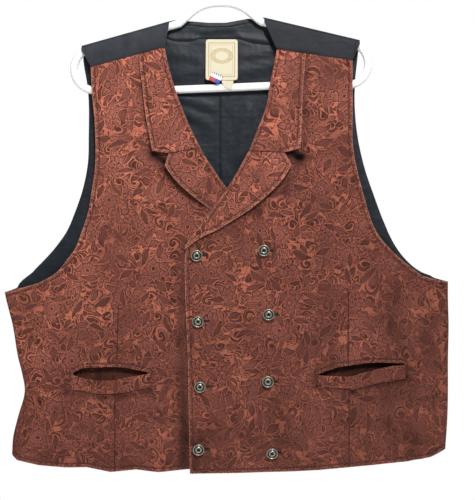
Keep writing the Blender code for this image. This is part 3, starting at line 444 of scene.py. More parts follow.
class Patch:
    """A four-sided stretch of cloth in X and Z, between an inner and an outer edge."""

    def __init__(self, rows: Line, low: Line | None, high: Line | None, corners: Iterable[int] = ()) -> None:
        """Fit the edges through a table of rows.

        Args:
            rows: outer x, outer z, inner x and inner z, from the lowest row up.
            low: the line of the lowest edge from inner to outer, straight if None.
            high: the line of the highest edge, straight if None.
            corners: the rows at which an edge turns sharply.
        """
        table = np.asarray(rows, dtype=float)
        outer, inner = table[:, :2], table[:, 2:]
        steps = sum(np.linalg.norm(np.diff(edge, axis=0), axis=1) for edge in (outer, inner))
        self.length = float(steps.sum()) / 2
        self.knots = np.concatenate(([0.0], np.cumsum(steps))) / steps.sum()
        self.outer = curve_through(self.knots, outer, corners)
        self.inner = curve_through(self.knots, inner, corners)
        self.low = along(low if low else (inner[0], outer[0]))
        self.high = along(high if high else (inner[-1], outer[-1]))

    def width(self, up: Array) -> Array:
        """Return the distance from edge to edge at each height."""
        return np.linalg.norm(self.outer(up) - self.inner(up), axis=-1)

    def heights(self, pitch: float) -> Array:
        """Return heights about pitch apart, with every row of the table among them.

        Args:
            pitch: the distance in millimetres.

        Returns:
            The heights from 0 to 1.
        """
        parts = [
            np.linspace(first, last, max(1, round((last - first) * self.length / pitch)), endpoint=False)
            for first, last in zip(self.knots, self.knots[1:])
        ]
        return np.concatenate((*parts, [1.0]))

    def grid(self, across: Array, up: Array) -> Array:
        """Return X and Z for shares across (a row for each height) and heights up.

        Args:
            across: shares from the inner edge, a row for each height or one row.
            up: the heights.

        Returns:
            X and Z for every row and column.
        """
        share = np.broadcast_to(across, (len(up), np.shape(across)[-1]))[..., None]
        height = np.asarray(up)[:, None, None]
        ruled = (1 - share) * self.inner(up)[:, None] + share * self.outer(up)[:, None]
        first = (1 - share) * self.inner(0.0) + share * self.outer(0.0)
        last = (1 - share) * self.inner(1.0) + share * self.outer(1.0)
        low_part = (self.low(share[..., 0]) - first) * (1 - height) ** 4
        high_part = (self.high(share[..., 0]) - last) * height**3
        return ruled + low_part + high_part


def fold_height(x: Array, z: Array, folds: Line) -> Array:
    """Return the sum of the folds at a place: each is a soft ridge along a straight line.

    Args:
        x: X of the places.
        z: Z of the places.
        folds: for each, from x, z to x, z, its half width and its height.

    Returns:
        The height at each place.
    """
    total = np.zeros(np.shape(x))
    for x0, z0, x1, z1, half_width, height in folds:
        run = np.array((x1 - x0, z1 - z0), dtype=float)
        share = np.clip(((x - x0) * run[0] + (z - z0) * run[1]) / (run @ run), 0.0, 1.0)
        away = np.hypot(x - x0 - share * run[0], z - z0 - share * run[1])
        total += height * np.exp(-((away / half_width) ** 2))
    return total


class Drape:
    """The two surfaces on which the cloth hangs, as depths from the mid-plane."""

    @staticmethod
    def surface(x: Array, z: Array, back: bool, creases: Line) -> Array:
        """Return how far the outside of the cloth lies from the mid-plane, away from the side folds.

        Args:
            x: X of the places.
            z: Z of the places.
            back: whether it is the back's surface.
            creases: folds to add to the large ones.

        Returns:
            The depths.
        """
        x, z = np.asarray(x, dtype=float), np.asarray(z, dtype=float)
        heights, front_depths, back_depths = np.array(DRAPE)[::-1].T
        depth = np.interp(z, heights, back_depths if back else front_depths)
        depth = depth * (1 - SIDE_FLATTENING * np.abs(x / HALF_WIDTH) ** FLATTENING_POWER)
        depth = depth + fold_height(x, z, BACK_FOLDS if back else FRONT_FOLDS)
        body = 1 - smooth_step(BODY_FULL, BODY_NONE, z)
        return SHOULDER_DEPTH + (depth - SHOULDER_DEPTH) * body + fold_height(x, z, creases)

    @classmethod
    def left_front(cls, x: Array, z: Array) -> Array:
        """Return the depth of the left front."""
        return cls.surface(x, z, False, FRONT_CREASES)

    @classmethod
    def right_front(cls, x: Array, z: Array) -> Array:
        """Return the depth of the right front, which steps back where the left front covers it."""
        below_neck = 1 - smooth_step(LAP_NONE, LAP_WHOLE, z)
        return cls.left_front(x, z) - LAP_STEP * smooth_step(LAP_FROM, LAP_TO, x) * below_neck

    @classmethod
    def back(cls, x: Array, z: Array) -> Array:
        """Return the depth of the back."""
        return cls.surface(x, z, True, ())


def painted_brightness(x: Array, z: Array, lines: Line) -> Array:
    """Return how bright the cloth is painted by the painted light and shade, where 1 is its own colour."""
    heights, shares, falls = np.array(PAINTED_LIGHT_BY_HEIGHT, dtype=float).T
    bright = np.interp(z, heights, shares) - np.interp(z, heights, falls) * x / HALF_WIDTH
    return bright + fold_height(x, z, lines)


def away_from(points: Array, lines: Sequence[Array]) -> Array:
    """Return the distance from each point to the nearest of some lines.

    Args:
        points: X and Z, any shape with 2 as its last length.
        lines: each an array of points joined in order.

    Returns:
        The distances in millimetres, in the shape of points without its last length.
    """
    flat = points.reshape(-1, 2)
    nearest = np.full(len(flat), FAR_AWAY)
    for line in lines:
        start, run = line[:-1], np.diff(line, axis=0)
        gap = flat[:, None] - start
        share = np.clip((gap * run).sum(-1) / np.maximum((run * run).sum(-1), 1e-9), 0.0, 1.0)
        away = np.linalg.norm(gap - share[..., None] * run, axis=-1).min(1)
        nearest = np.minimum(nearest, away)
    return nearest.reshape(points.shape[:-1])


def beside(points: Array, seam: Line | None) -> Array:
    """Return how far each point lies to the right of an upright seam, or far away above its end.

    Args:
        points: X and Z, any shape with 2 as its last length.
        seam: the seam from its upper end, if there is one.

    Returns:
        The signed distances.
    """
    if not seam:
        return np.full(points.shape[:-1], FAR_AWAY)
    line = np.array(seam, dtype=float)[::-1]
    reach = points[..., 0] - np.interp(points[..., 1], line[:, 1], line[:, 0])
    past = np.maximum(points[..., 1] - line[-1, 1], 0.0)
    return np.where(past > 0, np.hypot(reach, past) + past, reach)


def inset(line: Array, distance: float, towards: Array) -> Array:
    """Return a line moved sideways by a distance, on the side where the point towards lies.

    Args:
        line: the line in X and Z.
        distance: how far it moves.
        towards: a point on the side that it moves to.

    Returns:
        The moved line.
    """
    tangent = np.gradient(line, axis=0)
    tangent /= np.maximum(np.linalg.norm(tangent, axis=1), 1e-9)[:, None]
    normal = np.stack((-tangent[:, 1], tangent[:, 0]), axis=-1)
    if ((towards - line) * normal).sum() < 0:
        normal = -normal
    return line + normal * distance


@dataclass
class ClothGrid:
    """The outside of one cloth piece as a grid of points, with what its finish reads.

    Attributes:
        name: the piece's name.
        points: X, Y and Z for each row and column.
        wall: the cloth's thickness.
        towards: the sign of the Y side that is its outside.
        bolt: where the piece lies on the bolt, as an angle in degrees and a shift in X and Z.
        edges: finished edges in X and Z, from which the wear and the stitch groove are measured.
        seam: a dart's line, if there is one.
        painted_shading_and_tone: soft lines along which it is paler or darker: painted light and shade, and
            the paler tone of some whole pieces.
        keep: tells which cells of the grid are cloth.
    """

    name: str
    points: Array
    wall: float
    towards: int
    bolt: tuple[float, float, float] = (0.0, 0.0, 0.0)
    edges: Sequence[Array] = ()
    seam: Line | None = None
    painted_shading_and_tone: Line = ()
    keep: Callable[[int, int], bool] | None = None

    def on_bolt(self) -> Array:
        """Return each point's place on the bolt, in millimetres, with the cloth unrolled sideways."""
        steps = np.diff(self.points, axis=1)
        run = np.hypot(steps[..., 0], steps[..., 1]) * np.sign(steps[..., 0].sum() or 1.0)
        across = np.cumsum(np.concatenate((self.points[:, :1, 0], run), axis=1), axis=1)
        turn = math.radians(self.bolt[0])
        up = self.points[..., 2]
        turned_x = across * math.cos(turn) - up * math.sin(turn) + self.bolt[1]
        turned_z = across * math.sin(turn) + up * math.cos(turn) + self.bolt[2]
        return np.stack((turned_x, turned_z), axis=-1)

    def area(self) -> float:
        """Return the area of the cloth's outside in square metres."""
        corner = self.points[:-1, :-1]
        first = np.cross(self.points[:-1, 1:] - corner, self.points[1:, 1:] - corner)
        second = np.cross(self.points[1:, 1:] - corner, self.points[1:, :-1] - corner)
        cells = (np.linalg.norm(first, axis=-1) + np.linalg.norm(second, axis=-1)) / 2
        if self.keep is not None:
            rows, columns = cells.shape
            kept = [[self.keep(row, column) for column in range(columns)] for row in range(rows)]
            cells = cells * np.array(kept)
        return float(cells.sum()) * METRES**2

    def build(self, material: bpy.types.Material, cutter: Piece | None = None) -> Piece:
        """Make the wall of cloth.

        Args:
            material: its finish.
            cutter: what is cut out of it, if anything.

        Returns:
            The finished object, with its place in its mesh.
        """
        rows, columns = self.points.shape[:2]
        number = np.arange(rows * columns).reshape(rows, columns).tolist()
        faces = [
            [number[r][c], number[r][c + 1], number[r + 1][c + 1], number[r + 1][c]]
            for r in range(rows - 1)
            for c in range(columns - 1)
            if self.keep is None or self.keep(r, c)
        ]
        flat = self.points[..., (0, 2)]
        row, column = rows // 2, columns // 2
        across = self.points[row, column] - self.points[row, column - 1]
        upwards = self.points[row, column] - self.points[row - 1, column]
        if np.cross(across, upwards)[1] * self.towards < 0:
            faces = [face[::-1] for face in faces]
        mesh = bpy.data.meshes.new(self.name)
        verts = (self.points.reshape(-1, 3) * METRES).tolist()
        mesh.from_pydata(verts, [], faces)
        corners = np.empty(len(mesh.loops), dtype=np.int32)
        mesh.loops.foreach_get("vertex_index", corners)
        trim = np.stack((away_from(flat, self.edges), beside(flat, self.seam)), axis=-1)
        # Painted light and shade, with the tone of whole pieces, go into a map of their own for the finish
        bright = painted_brightness(flat[..., 0], flat[..., 1], self.painted_shading_and_tone)
        layers = {
            "bolt": self.on_bolt() * METRES,
            "trim": trim * METRES,
            "fading": np.stack((bright, fold_height(flat[..., 0], flat[..., 1], self.painted_shading_and_tone)), axis=-1),
        }
        for layer, values in layers.items():
            uv = mesh.uv_layers.new(name=layer)
            uv.data.foreach_set("uv", values.reshape(-1, 2)[corners].ravel())
        piece = stood(self.name, mesh)
        loose = bmesh.new()
        loose.from_mesh(mesh)
        bmesh.ops.delete(loose, geom=[vert for vert in loose.verts if not vert.link_faces], context="VERTS")
        loose.to_mesh(mesh)
        loose.free()
        mesh.materials.append(material)
        solidify = piece.modifiers.new("wall", "SOLIDIFY")
        solidify.thickness = self.wall * METRES
        solidify.offset = -1.0
        if cutter is not None:
            boolean = piece.modifiers.new("mouth", "BOOLEAN")
            boolean.operation = "DIFFERENCE"
            boolean.solver = "EXACT"
            boolean.object = cutter
        bevel = piece.modifiers.new("turned edge", "BEVEL")
        bevel.width = min(TURNED_EDGE, self.wall * 0.4) * METRES
        bevel.segments = 2
        bevel.limit_method = "ANGLE"
        bevel.angle_limit = math.radians(50)
        return plain(piece)


def stood(name: str, data: bpy.types.ID) -> Piece:
    """Put an object that holds some data into the scene."""
    piece = bpy.data.objects.new(name, data)
    bpy.context.scene.collection.objects.link(piece)
    return piece


def plain(piece: Piece) -> Piece:
    """Turn an object with modifiers into a plain mesh of the same name, with smooth faces.

    Args:
        piece: the object, which is removed.

    Returns:
        The plain object.
    """
    evaluated = piece.evaluated_get(bpy.context.evaluated_depsgraph_get())
    mesh = bpy.data.meshes.new_from_object(evaluated)
    mesh.transform(piece.matrix_world)
    name = piece.name
    bpy.data.objects.remove(piece)
    mesh.shade_smooth()
    return stood(name, mesh)


def seat(piece: Piece, slot: str, *nodes: str) -> Piece:
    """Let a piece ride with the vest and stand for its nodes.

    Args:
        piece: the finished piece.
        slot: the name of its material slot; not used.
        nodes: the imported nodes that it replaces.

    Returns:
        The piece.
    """
    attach(piece, BODY)
    if nodes:
        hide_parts(*nodes)
    LOG.info("%s: %d faces", piece.name, len(piece.data.polygons))
    return piece


# For a kind of node, or one of its choices: the property that takes the choice, the inputs that values
# fill in order and the output
CHOICES = {
    "VectorMath": ("operation", (0, 1, 2), 0),
    "VectorMath.SCALE": ("operation", (0, 3), 0),
    "VectorMath.LENGTH": ("operation", (0,), 1),
    "Mix": ("data_type", (0, 6, 7), 2),
    "TexNoise": ("noise_dimensions", (0, 2, 3, 4), 0),
}


@dataclass
class Recipe:
    """Adds nodes to one tree."""

    tree: bpy.types.NodeTree
    prefix: str = "ShaderNode"

    def fill(self, node: bpy.types.Node, inputs: dict[int | str, Value]) -> None:
        """Give a node's inputs, by name or number, a socket to read or a value; None leaves one as it is."""
        for key, value in inputs.items():
            if isinstance(value, Socket):
                self.tree.links.new(value, node.inputs[key])
            elif value is not None:
                node.inputs[key].default_value = value

    def add(
        self,
        kind: str,
        *values: Value,
        named: dict[int | str, Value] | None = None,
        out: int | str | None = None,
        **settings: Value,
    ) -> Socket:
        """Add a node with its settings and links.

        Args:
            kind: the node's type without the prefix, or whole, with a choice after a dot if it has one;
                in capitals, the operation of a Math node.
            values: a number, colour or socket for each input in order; None leaves one as it is.
            named: the same for inputs by name or number.
            out: which output to return, the first or the usual one if None.
            settings: the node's own properties.

        Returns:
            The output socket.
        """
        base, _, choice = kind.partition(".")
        option, order, usual = "operation", range(len(values)), 0
        if kind.isupper():
            base, choice = "ShaderNodeMath", kind
        elif base in CHOICES:
            option, order, usual = CHOICES.get(kind, CHOICES[base])
        made = self.tree.nodes.new(base if "Node" in base else self.prefix + base)
        if choice:
            setattr(made, option, choice)
        for name, value in settings.items():
            setattr(made, name, value)
        self.fill(made, dict(zip(order, values)) | (named or {}))
        return made.outputs[usual if out is None else out] if len(made.outputs) else made

    def chain(self, value: Value, *steps: tuple) -> Socket:
        """Pass a value through one node after another.

        Args:
            value: what the first node takes.
            steps: each node's kind and its further inputs.

        Returns:
            The last node's output.
        """
        for kind, *inputs in steps:
            value = self.add(kind, value, *inputs)
        return value

    def band(self, value: Value, middle: float, near: float, far: float, high: float, low: float) -> Socket:
        """Draw a soft line where a value comes near its middle.

        Args:
            value: what is compared.
            middle: the value on the line's axis.
            near: how far from the axis the line is still whole.
            far: how far from the axis it has ended.
            high: what it gives on the line.
            low: what it gives beside it.

        Returns:
            The line, from low to high.
        """
        return self.chain(value, ("SUBTRACT", middle), ("ABSOLUTE",), ("MapRange", near, far, high, low))

    def millimetres(self, layer: str) -> Socket:
        """Return what a layer of the cloth's map holds, in millimetres."""
        return self.chain(self.add("UVMap", uv_map=layer), ("VectorMath.SCALE", 1000.0))


def start_finish(name: str) -> tuple[bpy.types.Material, Recipe, bpy.types.Node]:
    """Make a bare finish.

    Args:
        name: the material's name.

    Returns:
        The material, a recipe for its nodes and its shader.
    """
    made = bpy.data.materials.new(name)
    made.use_nodes = True
    return made, Recipe(made.node_tree), made.node_tree.nodes["Principled BSDF"]


class Motif(Enum):
    """The figures of the print."""

    LEAF = "leaf"
    ACANTHUS = "acanthus leaf"
    FLOWER = "flower"
    SCROLL = "scroll"


@dataclass(frozen=True)
class MotifLayer:
    """One layer of scattered figures.

    Attributes:
        motif: what is drawn.
        spacing: how far apart the figures are.
        length: how long a leaf or petal is.
        width: half its width.
        shift: where the layer starts, which keeps layers unlike.
        swirl: how far a figure may curl round its middle, in radians.
    """

    motif: Motif
    spacing: float
    length: float
    width: float
    shift: tuple[float, float, float]
    swirl: float = 1.6


@dataclass(frozen=True)
class Cell:
    """What the nodes know of the cell that a figure stands in.

    Attributes:
        x: distance along the figure from its middle.
        y: distance across it.
        reach: distance from its middle.
        border: distance past the cell's edge.
        shade: a value by chance, from 0 to 1.
    """

    x: Socket
    y: Socket
    reach: Socket
    border: Socket
    shade: Socket


@dataclass(frozen=True)
class FloralTwill:
    """Cotton twill printed tone on tone with flowers, leaves and scrolls.

    The ground is a warm rust, the figures are a duller brown with darker outlines, and the cloth is
    rubbed paler along its turned edges.
    """

    ground: str = "#A15D4A"
    pale_fill: str = "#874F44"
    deep_fill: str = "#56312B"
    outline: str = "#3C211C"
    worn: str = "#AE7B6B"
    line: float = 0.78
    soft: float = 0.7
    channel: float = 1.25
    bare_after: int = 3
    layers: tuple[MotifLayer, ...] = (
        MotifLayer(Motif.SCROLL, 20, 8, 0.8, (211, 47, 0)),
        MotifLayer(Motif.LEAF, 18, 15, 2.6, (0, 0, 0)),
        MotifLayer(Motif.ACANTHUS, 27, 23, 5.2, (87, 319, 0)),
        MotifLayer(Motif.FLOWER, 35, 15, 3.6, (403, 133, 0), 2.4),
        MotifLayer(Motif.SCROLL, 29, 10, 0.9, (17, 859, 0)),
        MotifLayer(Motif.LEAF, 26, 19, 3.4, (59, 611, 0)),
        MotifLayer(Motif.FLOWER, 52, 21, 4.6, (743, 251, 0), 1.8),
        MotifLayer(Motif.ACANTHUS, 34, 26, 5.0, (907, 73, 0)),
    )

    def stripe(self, r: Recipe, away: Socket, half: float) -> Socket:
        """Return 1 on a line and 0 off it, softly, from the distance to its middle."""
        return r.add("MapRange", away, max(half - self.soft / 2, 0.0), half + self.soft / 2, 1.0, 0.0)

    def blade(
        self, r: Recipe, x: Socket, y: Socket, length: float, width: float, jagged: bool
    ) -> tuple[Socket, Socket, Socket]:
        """Return a pointed blade that runs along +X.

        Args:
            r: where the nodes are added.
            x: distance along the blade.
            y: distance across it.
            length: its length.
            width: half its width.
            jagged: whether its edge is cut into lobes.

        Returns:
            The distance outside it, the share along it and its veins.
        """
        share = r.add("DIVIDE", x, length, use_clamp=True)
        bowed = r.chain(share, ("POWER", 1.35), ("MULTIPLY", math.pi), ("SINE",))
        half = r.add("MULTIPLY", bowed, width)
        side = r.add("ABSOLUTE", y)
        slant = r.add("MULTIPLY_ADD", side, -1.1, x)
        lobe = r.chain(slant, ("DIVIDE", 4.4), ("FRACT",))
        if jagged:
            cut = r.add("MULTIPLY_ADD", lobe, 0.5, 0.52)
            half = r.add("MULTIPLY", half, cut)
            vein = r.add("MapRange", lobe, 0.0, 0.14, 0.9, 0.0)
        else:
            ribs = r.add("ADD", half, 0.1)
            ribs = r.chain(side, ("DIVIDE", ribs), ("SUBTRACT", 0.52), ("ABSOLUTE",))
            vein = r.add("MapRange", ribs, 0.03, 0.14, 0.5, 0.0)
        rib = self.stripe(r, side, 0.3)
        fade = r.add("MapRange", share, 0.5, 0.8, 1.0, 0.2)
        vein = r.add("MULTIPLY", vein, fade)
        vein = r.add("MAXIMUM", rib, vein)
        past = r.chain(share, ("MULTIPLY_ADD", -length, x), ("ABSOLUTE",))
        side = r.add("SUBTRACT", side, half)
        return r.add("ADD", side, past), share, vein

    def paint(self, r: Recipe, colour: Socket, away: Socket, fill: Value, veins: Value) -> Socket:
        """Lay a figure over the colour so far: its fill inside, its outline and its veins.

        Args:
            r: where the nodes are added.
            colour: the colour so far.
            away: the distance outside the figure.
            fill: the figure's own colour.
            veins: lines inside it, from 0 to 1.

        Returns:
            The new colour.
        """
        inside = r.add("MapRange", away, -0.3, 0.3, 1.0, 0.0)
        around = r.add("MapRange", away, self.channel, self.channel + 0.8, 1.0, 0.0)
        colour = r.add("Mix.RGBA", around, colour, linear(self.ground))
        colour = r.add("Mix.RGBA", inside, colour, fill)
        rim = r.add("ABSOLUTE", away)
        rim = self.stripe(r, rim, self.line)
        veins = r.add("MULTIPLY", veins, inside)
        lines = r.chain(rim, ("MAXIMUM", veins), ("MULTIPLY", 0.95))
        return r.add("Mix.RGBA", lines, colour, linear(self.outline))

    def shaded(self, r: Recipe, tone: Socket) -> Socket:
        """Return the fill between its deep and its pale colour."""
        return r.add("Mix.RGBA", tone, linear(self.deep_fill), linear(self.pale_fill))

    def figure(self, r: Recipe, place: Socket, layer: MotifLayer, colour: Socket) -> Socket:
        """Add one layer of figures, one in each cell and turned by chance.

        Args:
            r: where the nodes are added.
            place: the place on the bolt in millimetres.
            layer: what to draw.
            colour: the colour so far.

        Returns:
            The colour with the layer drawn.
        """
        scaled = r.chain(place, ("VectorMath.ADD", layer.shift), ("VectorMath.SCALE", 1 / layer.spacing))
        cells = {"Scale": 1.0, "Randomness": 0.62}
        cell = r.add("TexVoronoi", scaled, named=cells, out="Position", voronoi_dimensions="2D")
        flat = {"voronoi_dimensions": "2D", "feature": "DISTANCE_TO_EDGE"}
        border = r.add("TexVoronoi", scaled, named=cells, **flat)
        border = r.add("MULTIPLY_ADD", border, -layer.spacing, 1.0)
        chance = r.add("SeparateColor", cell.node.outputs["Color"])
        bend, shade = chance.node.outputs[1], chance.node.outputs[2]
        local = r.chain(scaled, ("VectorMath.SUBTRACT", cell), ("VectorMath.SCALE", layer.spacing))
        reach = r.add("VectorMath.LENGTH", local)
        swirl = r.add("MULTIPLY_ADD", bend, layer.swirl, -layer.swirl / 2)
        swirl = r.add("MULTIPLY", swirl, 1 / layer.length)
        turn = r.add("MULTIPLY", chance, 2 * math.pi)
        turn = r.add("MULTIPLY_ADD", swirl, reach, turn)
        local = r.add("VectorRotate", local, named={"Angle": turn}, rotation_type="Z_AXIS")
        x = r.add("SeparateXYZ", local)
        draw = {Motif.FLOWER: self.flower, Motif.SCROLL: self.scroll}.get(layer.motif, self.leaf)
        return draw(r, Cell(x, x.node.outputs[1], reach, border, shade), layer, colour)

    def leaf(self, r: Recipe, cell: Cell, layer: MotifLayer, colour: Socket) -> Socket:
        """Draw a leaf with a midrib and side veins; it takes and returns what a figure does."""
        x = r.add("ADD", cell.x, layer.length / 2)
        away, _, veins = self.blade(r, x, cell.y, layer.length, layer.width, layer.motif is Motif.ACANTHUS)
        away = r.add("MAXIMUM", away, cell.border)
        tone = r.add("MULTIPLY", cell.shade, 0.7)
        return self.paint(r, colour, away, self.shaded(r, tone), veins)

    def flower(self, r: Recipe, cell: Cell, layer: MotifLayer, colour: Socket) -> Socket:
        """Draw a long outer whorl of petals, a short inner one and an eye, as a figure."""
        angle = r.add("ARCTAN2", cell.y, cell.x)
        count = r.chain(cell.shade, ("MULTIPLY", 4.0), ("FLOOR",), ("ADD", 6.0))
        half = r.chain(2 * math.pi, ("DIVIDE", count), ("MULTIPLY", 0.5))
        low = r.add("MULTIPLY", half, -1.0)
        folded = r.add("WRAP", angle, half, low)
        between = r.chain(angle, ("ADD", half), ("WRAP", half, low))
        for turned, size, wide in ((folded, 1.0, 1.0), (between, 0.66, 0.85)):
            cosine, sine = r.add("COSINE", turned), r.add("SINE", turned)
            x = r.add("MULTIPLY", cell.reach, cosine)
            y = r.add("MULTIPLY", cell.reach, sine)
            away, share, veins = self.blade(r, x, y, layer.length * size, layer.width * wide, False)
            away = r.add("MAXIMUM", away, cell.border)
            tone = r.add("MapRange", share, 0.1, 0.55, 0.25, 1.0)
            tip = r.add("MapRange", share, 0.6, 0.95, 1.0, 0.35)
            tone = r.add("MULTIPLY", tone, tip)
            colour = self.paint(r, colour, away, self.shaded(r, tone), veins)
        eye = r.add("SUBTRACT", cell.reach, layer.length * 0.1)
        return self.paint(r, colour, eye, linear(self.deep_fill), 0.0)

    def scroll(self, r: Recipe, cell: Cell, layer: MotifLayer, colour: Socket) -> Socket:
        """Draw a curl as a figure: a stem that winds in and swells as it goes out."""
        angle = r.add("ARCTAN2", cell.y, cell.x)
        wound = r.chain(cell.reach, ("LOGARITHM", math.e), ("MULTIPLY", 1 / 1.1))
        wound = r.add("MULTIPLY_ADD", angle, 1 / (2 * math.pi), wound)
        wound = r.chain(wound, ("FRACT",), ("ADD", -0.5), ("ABSOLUTE",))
        off = r.add("MULTIPLY", wound, cell.reach)
        swell = r.add("MULTIPLY_ADD", cell.reach, 0.1, 0.35)
        away = r.add("SUBTRACT", off, swell)
        rim = r.add("SUBTRACT", cell.reach, layer.length)
        away = r.chain(away, ("MAXIMUM", rim), ("MAXIMUM", cell.border))
        return self.paint(r, colour, away, self.shaded(r, cell.shade), 0.0)

    def bare_ground(self, r: Recipe, place: Socket, colour: Socket) -> Socket:
        """Lay outlined patches of bare ground, some 10 mm wide, over the figures so far."""
        patch = r.chain(place, ("VectorMath.ADD", (523.0, 71.0, 0.0)), ("TexNoise.2D", 1 / 19, 2.0))
        inside = r.add("MapRange", patch, 0.6, 0.615, 0.0, 0.9)
        rim = r.band(patch, 0.6, 0.008, 0.02, 0.8, 0.0)
        colour = r.add("Mix.RGBA", inside, colour, linear(self.ground))
        return r.add("Mix.RGBA", rim, colour, linear(self.outline))

    def material(self) -> bpy.types.Material:
        """Make the finish: the print, the painted light and shade, the wear along edges, the seams and the
        weave.
        """
        made, r, shader = start_finish("printed_cotton_twill")
        flat = r.millimetres("bolt")

        # The figures wander a little, as hand-drawn ones do: by 5 mm over 60 mm, and by 1.5 mm over 15 mm
        place = flat
        for scale, reach in ((1 / 60, 20.0), (1 / 15, 6.5)):
            drift = r.add("TexNoise.2D", place, scale, 1.0, out="Color")
            drift = r.chain(drift, ("VectorMath.SUBTRACT", (0.5, 0.5, 0.5)), ("VectorMath.SCALE", reach))
            place = r.add("VectorMath.ADD", place, drift)
        colour = r.add("ShaderNodeRGB")
        colour.default_value = linear(self.ground)

        # Thin stems wander over the ground between the figures
        for shift, scale in ((31.0, 1 / 22), (167.0, 1 / 15)):
            stem = r.chain(place, ("VectorMath.ADD", (shift, shift, 0.0)), ("TexNoise.2D", scale, 0.0))
            stem = r.band(stem, 0.5, 0.012, 0.035, 0.85, 0.0)
            colour = r.add("Mix.RGBA", stem, colour, linear(self.outline))
        for number, layer in enumerate(self.layers):
            if number == self.bare_after:
                colour = self.bare_ground(r, place, colour)
            colour = self.figure(r, place, layer, colour)

        # Uneven dye over 60 mm and less, and the twill's grain, drawn at 1.6 mm because its own 0.5 mm
        # is too fine to show
        dye = r.add("TexNoise.2D", flat, 1 / 60, 3.0, 0.6)
        plum = r.add("MapRange", dye, 0.32, 0.5, 0.3, 0.0)
        dye = r.add("MapRange", dye, 0.3, 0.7, 0.72, 1.28)
        grain = r.chain(flat, ("TexNoise.2D", 1 / 1.6, 2.0), ("MapRange", 0.3, 0.7, 0.84, 1.16))
        tone = r.add("MULTIPLY", dye, grain)

        # Painted light and shade scale the colour; where the painted light is dimmest the print stands out
        # least, too
        fading = r.add("UVMap", uv_map="fading")
        fading = r.add("SeparateXYZ", fading)
        dull = r.chain(fading, ("MapRange", 0.45, 0.85, 0.42, 0.0), ("MAXIMUM", plum))
        middle = linear(self.pale_fill)
        colour = r.add("Mix.RGBA", dull, colour, middle)
        tone = r.add("MULTIPLY", tone, fading)
        colour = r.add("VectorMath.SCALE", colour, tone)

        trim = r.add("UVMap", uv_map="trim")
        edge = r.add("SeparateXYZ", trim)
        seam = edge.node.outputs[1]
        edge = r.add("MULTIPLY", edge, 1000.0)
        seam = r.chain(seam, ("MULTIPLY", 1000.0), ("ABSOLUTE",))

        # Rubbed flecks: thick on the turned edge itself, thin over the band inside the stitching
        fleck = r.add("TexNoise.2D", flat, 1 / 2.4, 3.0)
        rubbed = r.add("MapRange", edge, 0.2, 2.0, 0.61, 0.3)
        band = r.add("MapRange", edge, 5.5, 6.5, 0.33, 0.0)
        rubbed = r.add("MAXIMUM", rubbed, band)
        fleck = r.chain(fleck, ("ADD", rubbed), ("MapRange", 0.9, 1.14, 0.0, 0.62))
        near = r.add("MapRange", edge, 6.0, 8.0, 1.0, 0.0)
        fleck = r.add("MULTIPLY", fleck, near)
        colour = r.add("Mix.RGBA", fleck, colour, linear(self.worn))

        # The stitching pulls a groove 5.5 mm in from each edge, darkened as painted shade, and a dart is a
        # fine dark seam
        groove = r.band(edge, 5.5, 0.3, 1.7, 1.0, 0.0)
        dart = r.add("MapRange", seam, 0.4, 1.2, 1.0, 0.0)
        shaded_groove_and_seam = r.chain(groove, ("MULTIPLY", 0.7), ("MAXIMUM", dart))
        dark = r.add("MULTIPLY", shaded_groove_and_seam, 0.88)
        colour = r.add("Mix.RGBA", dark, colour, linear("#381C18"))

        puckers = r.add("TexNoise.2D", flat, 1 / 4.5, 1.0)
        puckered = r.add("MapRange", edge, 3.0, 10.0, 1.0, 0.0)
        puckers = r.add("MULTIPLY", puckers, puckered)
        slub = r.add("TexNoise.2D", flat, 1 / 1.8, 3.0)
        height = r.add("MULTIPLY_ADD", slub, 0.2, puckers)
        deep = r.chain(seam, ("MapRange", 0.0, 3.0, 1.0, 0.0), ("MAXIMUM", groove))
        height = r.add("MULTIPLY_ADD", deep, -0.9, height)
        bump = r.add("Bump", named={"Strength": 0.8, "Distance": 0.0009, "Height": height})
        r.fill(shader, {"Base Color": colour, "Normal": bump, "Roughness": 0.85, "Specular IOR Level": 0.1})
        return made


